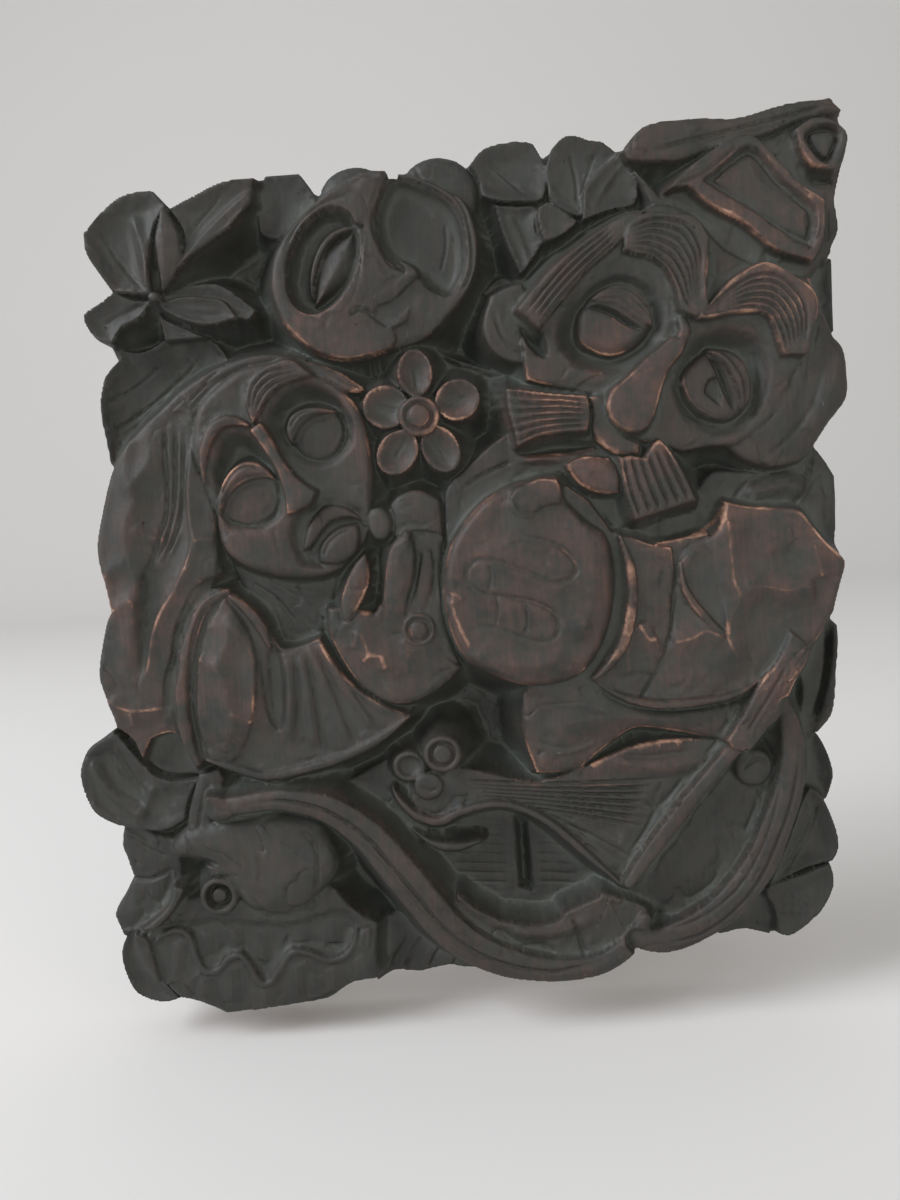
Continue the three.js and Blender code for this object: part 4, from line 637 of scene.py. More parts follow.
def carveCloak():
    lay([(-99, 0), (-107, 1, 1), (-113, -7), (-119, -17), (-123, -30), (-124, -45), (-122.5, -60),
         (-117, -75, 1), (-113, -71), (-110, -71), (-106, -74), (-100, -77), (-91, -81, 1), (-82, -82),
         (-72, -79), (-60, -76), (-45, -71), (-35, -64), (-27, -57, 1), (-36, -52), (-48, -44), (-57, -32),
         (-62, -22, 1), (-70, -25), (-78, -25), (-83, -15), (-90, -6)],
        38, edge=1.7, wall=0.8, facets=0.5, way=3)
    strip([(-98, -1.5, 1.4, 38), (-106.5, -6, 2.4, 39.4), (-112.5, -16, 2.8, 39.8), (-117, -30, 3.0, 39.8),
           (-119.5, -45, 3.0, 39.8), (-119, -60, 2.6, 39.4), (-115.5, -71, 1.4, 38.5)], crown=1.0, edge=0.9,
          facets=0.3)
    score([(-102, -3), (-108.5, -10), (-113, -21), (-115.8, -36), (-116.5, -52), (-113.5, -70)], 1.6, 1.4)
    # the broad petal-shaped fold, with two waved ridges
    lay([(-99, -4, 1), (-105, -11), (-110, -22), (-113, -34), (-114.5, -50), (-113.5, -60), (-110, -71, 1),
         (-103, -72), (-96, -66), (-91.5, -55), (-88.5, -40), (-88, -28), (-91, -16)], 39.6, edge=1.6,
        crown=0.6, facets=0.6, way=3)
    crest([(-100.6, -8), (-98.3, -15), (-98.4, -21), (-101.4, -27.5), (-102.3, -34.4), (-101, -40.3),
           (-100.4, -48.5), (-99.2, -54.4), (-103.4, -66)], 2.4, 7, bare=0.4)
    crest([(-99, -9), (-95.9, -14), (-92.4, -21.3), (-89.6, -28.6), (-89.8, -38), (-90.6, -49.4),
           (-91, -63)], 1.6, 4.5, bare=0.45)
    crest([(-112, -27), (-107, -31), (-101.8, -30)], 1.2, 4, bare=0.4)
    crest([(-100.4, -50), (-95, -53), (-91, -56)], 1.0, 3.5, bare=0.3)
    strip([(-97, -3.5, 0.8, 38.8), (-91, -8.5, 2.0, 40), (-85.5, -16, 2.2, 40.2), (-82.5, -25, 1.0, 38.8)],
          crown=0.8, edge=0.7)
    bowl(oval(-81.5, -42, 19, 5.2, 88), 2.6, 3.5)
    score([(-86, -28), (-86, -42), (-84.6, -54), (-80.6, -60)], 1.0, 1.2)
    pleats = [[(-76, -27), (-75.5, -46), (-78, -66)], [(-71, -26), (-68.5, -44), (-67, -69)],
              [(-67.5, -24), (-61, -42), (-53, -68)], [(-63.5, -22), (-54.5, -41), (-41, -63)],
              [(-60, -23), (-48.5, -43), (-32, -57)]]
    for pleat in pleats:
        crest(pleat, 1.7, 3.4, bare=0.2)
        score([(x + 3.0, z - 1) for x, z in pleat], 0.8, 1.2)
    strip([(-112, -70, 0.8, 38), (-100, -74, 1.8, 39.2), (-88, -78, 2.0, 39.4), (-72, -76, 2.0, 39.4),
           (-56, -72, 2.0, 39), (-40, -65, 1.8, 38.8), (-28, -57, 0.8, 38)], crown=0.8, edge=0.8)


def carveHand():
    # first finger, bent over behind the others, and its tip
    lay([(-31.5, 26), (-28.5, 31.5), (-24, 34), (-19, 34.8), (-14, 33), (-9.4, 29.4), (-8.8, 22),
         (-9.4, 12, 1), (-20, 12, 1), (-30, 16, 1)], 38.6, edge=2.6, crown=0.8, wall=0.8)
    lay(oval(-34.6, 21.7, 7.1, 5.1, 96), 40.6, edge=2.4, crown=0.5, facets=0.3)
    score([(-30.6, 28.8), (-28.8, 24), (-29, 18.2)], 1.5, 1.2)
    crest([(-27.6, 26), (-24, 25), (-20, 25.6)], 0.8, 2.6, bare=0.3)
    score([(-28.4, 18.6), (-23, 20.6), (-16, 19.4)], 1.2, 1.6)
    # palm and the fingers in one mass
    lay([(-58.6, -10.6, 1), (-58.9, -20), (-55.4, -30), (-50, -40), (-43.8, -47), (-35.7, -51.9),
         (-25, -51.8), (-14, -46.5), (-5, -38.6, 1), (-9.8, -24), (-11.2, -8), (-10.2, 6), (-9, 15, 1),
         (-15, 17), (-21.8, 17.6), (-28.4, 15.4), (-31.9, 11.1), (-33.3, 4.8), (-34.4, -1.6), (-35.5, -8),
         (-39.6, -13.4, 1), (-46, -11.4), (-50.5, -10.4)], 39, edge=3.4, crown=0.8, wall=0.8,
        facets=0.6, way=2)
    sink([(-41.4, 14.4, 1), (-31.4, 13.8, 1), (-33.4, 5), (-35.6, -7, 1), (-39.4, -5), (-39.2, 6)], 28, 1.6)
    strip([(-50.6, -14, 3.0, 38.8), (-48, -8, 4.4, 40.2), (-44.8, -1, 4.7, 40.8), (-42.8, 5, 3.4, 40.4),
           (-41.6, 8.6, 1.6, 39.4)], crown=1.2, edge=1.4, facets=0.3)
    score([(-47.4, 1), (-47.2, -2.6), (-44.4, -4), (-41.2, -2), (-40.6, 2)], 0.9, 0.9)
    strip([(-31.4, -19, 4.6, 39.2), (-30.2, -8, 5.3, 41), (-28.2, 0, 6.0, 42), (-26.6, 8, 5.9, 42.4),
           (-25, 13.4, 4.2, 42), (-24, 16.4, 2.2, 41)], crown=1.2, edge=1.8, wall=0.8, facets=0.2)
    lay([(-29, 12.2, 1), (-22.6, 16.6, 1), (-24, 9.6, 1)], 43.6, edge=0.7, facets=0)
    strip([(-20.6, -13, 2.4, 39), (-18.8, -6, 3.2, 39.8), (-17, 2, 3.2, 40), (-16.4, 8, 2.2, 39.6)],
          crown=0.7, edge=1.2, wall=0.8, facets=0.2)
    score([(-19.6, 11), (-20.8, 2), (-22.8, -5), (-25, -13)], 1.4, 1.4)
    # worn ridges where the flat cuts of the palm meet
    crest([(-50, -20.7), (-46.2, -21), (-43.9, -25), (-42.3, -30.3), (-37.8, -31.3), (-36.8, -34),
           (-35.5, -40)], 2.2, 7, bare=1.0)
    crest([(-42.3, -30.3), (-44, -32), (-45.5, -33.2)], 0.8, 3, bare=0.9)
    crest([(-46.2, -21), (-48, -24), (-49.4, -28.4)], 1.0, 4, bare=0.8)
    crest([(-58, -11.4), (-54, -10.8), (-50.6, -11), (-50.4, -20)], 0.8, 3, bare=0.4)
    crest([(-40.4, -12.6), (-43.6, -14.4), (-46.6, -11.8), (-49.6, -15.4), (-50, -20.6)], 0.9, 2.6, bare=0.6)
    crest([(-29, -24.8), (-27.4, -28), (-25.4, -30.2), (-22.4, -29.7)], 0.9, 4, bare=0.7)
    crest([(-25.4, -30.2), (-27.4, -33.2), (-27.4, -40)], 1.0, 5, bare=0.6)
    score([(-13, -30), (-10, -34), (-6, -38)], 1.0, 1.3)
    # the ring with a knob
    lay(oval(-21.7, -21.8, 6.9, 6.9), 40.6, edge=1.0, facets=0)
    sink(oval(-21.7, -21.8, 5.4, 5.4), 39.2, 1.2)
    lay(oval(-21.7, -22, 3.9, 3.9), 41, edge=1.7, facets=0)
    rub([(-25.4, -20), (-25.4, -22.6), (-24, -25)], 0.9, 0.9)


# middle: the round clenched hand

def carveFist():
    # what lies lower between the hand and the cuff
    lay([(40, 33, 1), (50, 25), (58, 13, 1), (72, 8, 1), (74, -20), (66, -44), (50, -52, 1), (30, -49, 1),
         (30, 0, 1)], 38.4, edge=1.6, facets=0.2, over=False)
    # a rounded mass with a flat left rim
    lay([(-8.9, 8.2), (-3.2, 17.9), (5.8, 27.4), (16.2, 33.4), (24.7, 35.6), (36.4, 34.8), (41, 25.4),
         (48.8, 17), (55.4, 10.8), (58, -2.8), (56, -19.6), (51.6, -32), (44, -42.5), (32.6, -47.2),
         (17.3, -47), (3.8, -40.5), (-5, -34), (-10, -21.8), (-11.6, -6.9)], 43.5, edge=4.5, crown=2.6,
        wall=0.9, facets=0.6, way=2)
    crest([(16, 31), (5, 23), (-3, 12), (-7, -2), (-8, -8)], 1.2, 5, bare=0.35)
    crest([(-8, -8), (-7, -16), (-4, -24), (-1, -31.5)], 1.2, 5, bare=1.0)
    crest([(-8.6, -8.4), (-6, -8), (-3.4, -11)], 0.8, 3, bare=0.9)
    # thumb tip folded over the knuckle
    lay([(17, 26.5, 1), (19.5, 31.6), (23.8, 33.2), (29.7, 35.2), (36.6, 34.6, 1), (38, 30), (37.4, 24.6, 1),
         (32.5, 24.6), (29, 22.4), (23.8, 19.4), (18.2, 22.4)], 46.6, edge=1.2, crown=0.4, facets=0.5)
    score([(19.4, 27.6), (21.6, 23.4), (26.4, 21.6), (30.4, 24.6)], 1.4, 1.2)
    winding = [(12.9, 21), (15.2, 16.7), (23.4, 12.9), (34.9, 8.8), (40.8, 3.3), (42.4, -1.8), (38.4, -5.2),
               (32.4, -5.9), (25.9, -2.5), (18.5, 1.0), (10.2, 4.0), (3.5, 4.9), (-0.9, 1.2), (-0.8, -4.2),
               (5.2, -8.6), (15.2, -10.7), (24.4, -13.0), (31.2, -16.8), (34.2, -22.5), (32, -27.6),
               (26, -29.3), (18.5, -26.6), (11.1, -23.6), (4.4, -21.9), (-0.8, -23.3)]
    crest(winding, 0.5, 3.6)
    score(winding, 1.5, 1.5)
    rub(winding[3:7], 0.8, 0.8)
    rub(winding[15:19], 0.8, 0.7)
    # knuckles cut square inside the first loop
    lay([(20.8, 11, 1), (30, 8.6, 1), (28.6, -2.2, 1), (17.4, 2, 1)], 45.9, edge=0.8, crown=-0.5, facets=0.2)
    lay([(32, 7.4, 1), (37.4, 5), (41, -2.4, 1), (30.8, -3.4, 1)], 45.9, edge=0.8, crown=-0.5, facets=0.2)
    score([(10, -9), (10.4, -16), (9, -22)], 0.9, 1.0)
    score([(21, -12.4), (22, -20), (20, -26)], 0.9, 1.0)
    score([(8, 3), (8.6, -2), (7, -7.6)], 0.9, 1.0)
    crest([(44, 20), (48, 8), (48.6, -6), (46, -20), (39, -33)], 1.6, 8, bare=0.12)
    crest([(-2, -28), (2, -33), (10, -36.6), (24, -38.4), (37, -35)], 1.8, 6, bare=0.4)
    crest([(34, -22), (40, -24), (47, -22)], 1.0, 5, bare=0.3)


# right: sleeve, cuff and forearm

def carveSleeve():
    # what shows between the cuff and the sleeve
    lay([(74, 7, 1), (96, 10, 1), (102, -10), (100, -40, 1), (84, -57, 1), (60, -57, 1), (68, -40),
         (74, -20)], 39.8, edge=1.2, facets=0.2)
    # cuff: a band with a raised left edge
    lay([(60, 11.2, 1), (66, 9.8), (73, 6.8), (80.8, 4.9, 1), (81.6, -6), (80, -16), (77.4, -33), (71, -47),
         (65, -54.5, 1), (55, -53.5), (46, -46.6, 1), (51.8, -41.4), (57.8, -33.4), (61, -22), (62.6, -10),
         (62.4, 0)], 42, edge=1.0, crown=-0.6, facets=0.6, way=3)
    strip([(60.6, 10.6, 0.8, 42), (63.4, 0, 1.7, 44), (64.4, -10, 2.0, 44.4), (62.8, -22, 2.1, 44.4),
           (58.6, -33.6, 2.1, 44), (52.4, -41.6, 1.6, 43.2), (46.6, -46.4, 0.7, 42)], crown=1.0, edge=0.8,
          lean=-0.4)
    rub([(60.6, 10.6), (63.4, 0), (64.4, -10), (62.8, -22), (58.6, -33.6), (54, -40)], 1.5, 1.0)
    crest([(66, -24), (68, -28), (70.5, -31.5), (74, -30.5)], 1.8, 6, bare=0.9)
    crest([(63.6, -30), (61.4, -36), (61.2, -42), (61.6, -46)], 1.2, 4, bare=0.9)
    crest([(71, -16), (75, -17.5), (79, -18)], 0.8, 4, bare=0.4)
    # sleeve: broad flats that meet in ridges
    lay([(83, -1, 1), (86, 3.4), (90.7, 6.6), (98.9, 10.4), (103.2, 22, 1), (111.8, 19.6), (125.2, 18),
         (132.5, 16.4), (136.6, 11), (142.6, 3.2), (149.5, -3.4), (150, -8), (148, -15), (145, -25, 1),
         (135, -39), (120, -46), (107, -57, 1), (92, -59.4), (75, -60), (64, -57.5), (66, -54, 1),
         (76.6, -35), (81, -16)], 41.0, edge=2.4, crown=0.8, through=True, facets=0.55, way=1)
    crest([(103, 20), (103.4, 10), (103.6, 0), (104.2, -10), (106.4, -14.8), (104.6, -20.6), (102.6, -23),
           (101, -31.4), (103.3, -38), (108.7, -45.5)], 3.2, 10, bare=0.85)
    crest([(106, -14), (112, -12.6), (118, -13.2), (126, -15), (139, -13)], 3.0, 9, bare=0.55)
    crest([(78, -33.2), (86, -32), (92, -29.4), (96, -30.4), (100.6, -32.6)], 2.6, 8, bare=0.8)
    crest([(125, 17), (132.4, 15.4), (138, 8), (144, 0.6), (149, -4)], 1.6, 3.4, bare=0.8)
    crest([(136.6, 4), (138.4, -4), (140, -12)], 1.8, 6, bare=0.5)
    crest([(88, 8), (96, 11), (101, 16), (103.6, 21)], 1.0, 2.4, bare=0.9)
    # narrow fold inside the elbow
    lay([(84, -1.4, 1), (88, 2.6), (94, 4.6), (97.4, 0), (98.6, -12), (100.6, -31, 1), (97, -28.4),
         (89.6, -19.8), (85.2, -11)], 42.4, edge=1.0, crown=-0.8, facets=0.4, way=3)
    strip([(84, -1.6, 0.7, 42), (84.8, -11, 1.5, 43.4), (89.6, -20, 1.7, 43.8), (97, -28.6, 1.5, 43.6),
           (101, -31.8, 0.6, 42.8)], crown=0.8, edge=0.7)
    strip([(46.6, -47, 0.8, 41), (59.6, -54.4, 1.6, 43), (72.3, -57.4, 1.8, 43.4), (87.8, -57.6, 1.8, 43.4),
           (103, -55.6, 1.6, 43), (114, -50, 0.8, 41.5)], crown=0.9, edge=0.8)
    # fold of the collar below the beard
    lay([(45, 30, 1), (50, 27), (56, 27.5), (62, 27, 1), (63, 20), (66, 14, 1), (60, 12, 1), (54, 20),
         (48, 23)], 33, edge=1.6, crown=0.6, over=False)
    # forearm
    lay([(19, -47, 1), (31, -46), (47, -47, 1), (55, -54), (64, -58), (76, -60.5), (93, -60.5), (108.5, -58, 1),
         (107, -65), (101, -76, 1), (90, -73.5), (75, -69.5), (64, -68), (57, -71.5), (47, -78.5),
         (38, -84.5), (22, -84.5, 1), (18, -71), (17, -61)], 38, edge=2.8, crown=2.2, wall=0.8,
        facets=0.9, way=1)
    score([(24, -56), (40, -56), (52, -60)], 1.0, 1.6)
    score([(22, -70), (34, -74), (48, -70)], 1.0, 1.8)
    crest([(26, -66), (46, -62), (64, -63), (88, -66)], 2.0, 8)


# bottom right: the fiddle, the bow and the rims around them

def carveFiddle():
    # fan of plaited cloth behind the pegs
    lay([(-82, -85, 1), (-64, -82), (-56, -84, 1), (-44, -78), (-33, -73), (-21, -65), (-13, -62, 1),
         (-7, -68), (-6, -84), (-15, -104), (-33, -112), (-49, -100), (-59, -91)], 28, edge=1.1, crown=1.0,
        facets=0.9, way=1)
    lay([(-16, -103, 1), (-2, -99), (12, -98), (24, -103), (36, -115), (48, -127), (56, -134, 1), (46, -139),
         (30, -146), (10, -147), (-4, -142), (-18, -130), (-28, -113)], 24, edge=1.1, facets=0.4)
    lay([(104, -80, 1), (116, -84), (122, -90), (122, -101), (119, -110), (114, -121), (107, -133),
         (96, -143), (84, -148), (72, -149), (62, -142, 1), (56, -132), (78, -106)], 30.5, edge=1.7,
        crown=2.6, facets=0.9, way=2)
    # long sound hole and saw lines beside it
    sink([(13, -104, 1), (18, -106, 1), (19, -138, 1), (13, -136, 1)], 15, 1.6)
    for z in range(-134, -104, 4):
        score([(-14, z + 2), (-2, z + 1), (10, z)], 0.7, 0.9, 1)
        score([(21, z), (30, z - 1), (38 - (z + 134) * 0.25, z - 2)], 0.7, 0.9, 1)
    # belly with the fan of strings
    lay([(-12, -79, 1), (-2, -81), (6, -83.5), (21, -87.5), (33, -85.5), (44, -81.5), (52, -78.5), (61, -75.5),
         (73, -73.5), (87, -73.5), (101, -75, 1), (80, -104), (56, -133, 1), (45, -124.5), (36, -115.5),
         (28, -106.5), (20, -102), (7, -97), (-2, -96), (-10, -98), (-16, -103), (-24, -100), (-30, -92),
         (-24, -84)], 36.5, edge=1.3, facets=0.9, way=1)
    comb([(-9, -85.5), (30, -89), (74, -90)], [(-2, -95), (32, -101), (64, -109)], 7, 1.5, 1.0)
    for t in np.linspace(0, 1, 6):
        crest([(-7 + 6 * t, -86.5 - 8 * t), (32, -90 - 10 * t), (72 - 8 * t, -91 - 16 * t)], 0.9, 1.3)
    crest([(50, -80), (66, -84), (84, -84), (96, -80)], 1.8, 5)
    score([(56, -79), (70, -80), (86, -79)], 1.0, 1.4)
    score([(30, -106), (44, -112), (58, -122)], 1.4, 1.4)
    score([(18, -100), (34, -106), (50, -120)], 0.9, 1.2)
    # pegs at the scroll
    lay(oval(-15.5, -73, 8.2, 8.0), 41, edge=1.8, crown=0.6, facets=0.2)
    sink(oval(-15.5, -73, 5.8, 5.6), 39.2, 1.4)
    lay(oval(-15.5, -73, 4.0, 4.0), 41.6, edge=1.5, facets=0)
    lay(oval(-29.5, -78, 7.2, 6.8), 37.5, edge=1.8, facets=0.2)
    sink(oval(-29.5, -78, 4.8, 4.4), 35.6, 1.4)
    lay(oval(-22, -86.5, 6.2, 5.8), 39, edge=1.7, facets=0.2)
    score([(-25, -86), (-22, -88.5), (-18.5, -87)], 1.0, 0.9)
    strip([(-37, -87, 0.7, 35), (-34, -92.5, 1.5, 37), (-28, -98.5, 1.9, 38), (-19, -101.5, 2.0, 38.4),
           (-10, -98, 1.8, 38.6), (3, -95.5, 1.7, 38.6), (14, -97.5, 1.7, 38.6), (26, -104.5, 1.8, 38.6),
           (40, -118, 1.8, 38.4), (55, -133, 1.0, 37.5)], crown=0.9, edge=0.6)
    strip([(-31, -106, 0.7, 30), (-22, -112, 1.8, 34), (-12, -113.5, 2.0, 35), (-2, -112, 0.8, 33)],
          crown=0.8, edge=0.6)
    # bow
    strip([(103, -77, 3.0, 42), (90, -91, 3.2, 42.4), (77, -106, 3.4, 42.4), (66, -119.5, 3.2, 42),
           (57, -131, 2.4, 41.4)], crown=1.0, edge=0.7, lean=0.3)
    lay([(126, -31, 1), (133, -38), (132, -44), (127, -52), (120, -66), (108.5, -78, 1), (102, -78),
         (98.5, -74, 1), (106, -63), (113, -51), (120, -43)], 44.5, edge=1.1, crown=0.8, facets=0.7)
    score([(106, -72), (114, -60), (124, -44)], 1.2, 1.2)
    sink([(112, -74, 1), (119, -67), (121, -78), (119, -84, 1), (114, -81)], 20, 3)
    lay(oval(111.5, -87.5, 8.4, 8.2), 36, edge=2.5, crown=0.8, facets=0.4)
    score([(106, -88), (112, -84), (117, -86)], 1.2, 1.1)


def carveRims():
    lay([(-14, -133), (-6, -139), (4, -145, 1), (18, -147.5), (28, -146), (31, -143, 1), (44, -138),
         (48, -136), (58, -139.5), (65, -143, 1), (63, -152), (58, -161, 1), (40, -168), (14, -166),
         (-10, -156)], 37.5, edge=1.0, through=True, facets=0.8, way=1)
    crest([(6, -148), (18, -151), (30, -150), (44, -145)], 1.6, 3.6)
    score([(34, -145), (36, -154), (38.5, -163)], 1.8, 1.3)
    score([(50, -138), (54, -148), (60, -158)], 1.0, 1.2)
    # broad band from the left, under the fiddle
    strip([(-111, -89.5, 3.4, 40), (-99, -88.5, 4.2, 41.6), (-85, -87.3, 4.6, 42), (-71, -89.6, 5.4, 42),
           (-60, -94.5, 6.2, 42), (-48, -104.5, 7.0, 42), (-39, -116.5, 7.6, 42), (-30, -129, 7.8, 42),
           (-20, -143, 7.6, 42), (-9, -153.5, 7.2, 42), (5, -161, 6.6, 42), (20, -165, 5.6, 41.5),
           (34, -166, 5.0, 41), (47, -163.5, 4.6, 40.6), (58, -156, 4.2, 40), (63.5, -147, 3, 39.5)],
          crown=1.6, edge=1.3, through=True, facets=0.5, way=1)
    score([(-97, -88.5), (-84, -87.3), (-71, -89.8), (-60, -95), (-48, -105), (-39, -117), (-30, -129.5),
           (-20, -143.5), (-9, -154), (6, -161.5), (24, -165.5), (44, -163)], 1.9, 1.2)
    score([(-56, -102), (-44, -114.5), (-34, -128), (-24, -141.5), (-12, -154), (4, -163.5)], 0.9, 1.0)
    lay([(-113, -84, 1), (-107, -84.5), (-102, -89), (-103, -93.5), (-110, -95, 1), (-114, -90)], 42.4,
        edge=1.0, facets=0.4)
    # band that climbs on the right
    strip([(60, -156, 5.0, 36.5), (71, -157.5, 5.8, 37.4), (83, -153.5, 6.4, 38), (94.5, -147, 6.8, 38),
           (104, -138, 7.0, 38), (113, -126, 7.0, 38), (119.5, -111, 6.6, 38), (125, -97, 6.0, 38),
           (127, -83, 5.4, 38), (126, -71, 4.6, 38), (123.5, -61, 3.2, 37)], crown=1.6, edge=1.3,
          through=True, facets=0.5, way=3)
    score([(68, -158.5), (84, -155.5), (98, -147.5), (110, -134.5), (119, -117), (126, -98), (129, -80)],
          1.4, 1.1)
    score([(68, -153.5), (82, -150), (94, -143.5), (104, -134), (112, -121), (118, -106), (122, -90)],
          1.0, 1.0)


def carveRightLeaves():
    lay([(144, -25, 1), (151, -32, 1), (151, -42), (150, -50), (149, -62), (147, -70), (141, -77, 1),
         (134, -80), (130, -66), (129, -52), (136, -38)], 28, edge=1.4, crown=-3, through=True, way=3,
        over=False)
    sink([(133, -44), (135.5, -53), (135.5, -63), (132, -71), (129.5, -58)], 21, 2.2)
    score([(147.5, -33), (146.5, -46), (144.5, -58), (140.5, -71)], 6.5, 1.6)
    lay([(139, -76, 1), (143, -79), (147, -88), (148.5, -97), (145, -107, 1), (138, -102, 1), (134, -92)],
        24, edge=1.4, crown=-2.6, through=True, way=2)
    lay([(136, -99, 1), (142, -104), (147, -117), (148, -126), (145, -132, 1), (134, -134), (117, -141, 1),
         (126, -122), (132, -107)], 29, edge=1.4, crown=-4.5, through=True, way=3)
    score([(140, -106), (136, -120), (124, -136)], 1.0, 1.1)
    lay([(116, -141, 1), (124, -138), (132, -136), (144, -132, 1), (145.5, -141), (141, -151), (134, -158),
         (126, -163), (120, -161.5, 1), (117, -153)], 29, edge=1.4, crown=-2.5, through=True, way=2)
    lay([(92, -160, 1), (98, -163.5), (107, -162), (113, -163), (119.5, -165, 1), (121, -158), (117, -146),
         (104, -146)], 21.5, edge=1.3, crown=-1.5, through=True)
    # rows of shallow strokes on the low petal
    for row in range(3):
        for k in range(5):
            x, z = 124 + 3.0 * k, -144.5 - 4.0 * row - 0.35 * k
            score([(x, z), (x + 0.5 * (k % 2), z - 1.2), (x + 0.3, z - 2.4)], 0.8, 0.7, 2)


# bottom left: the broad flower and what grows round it

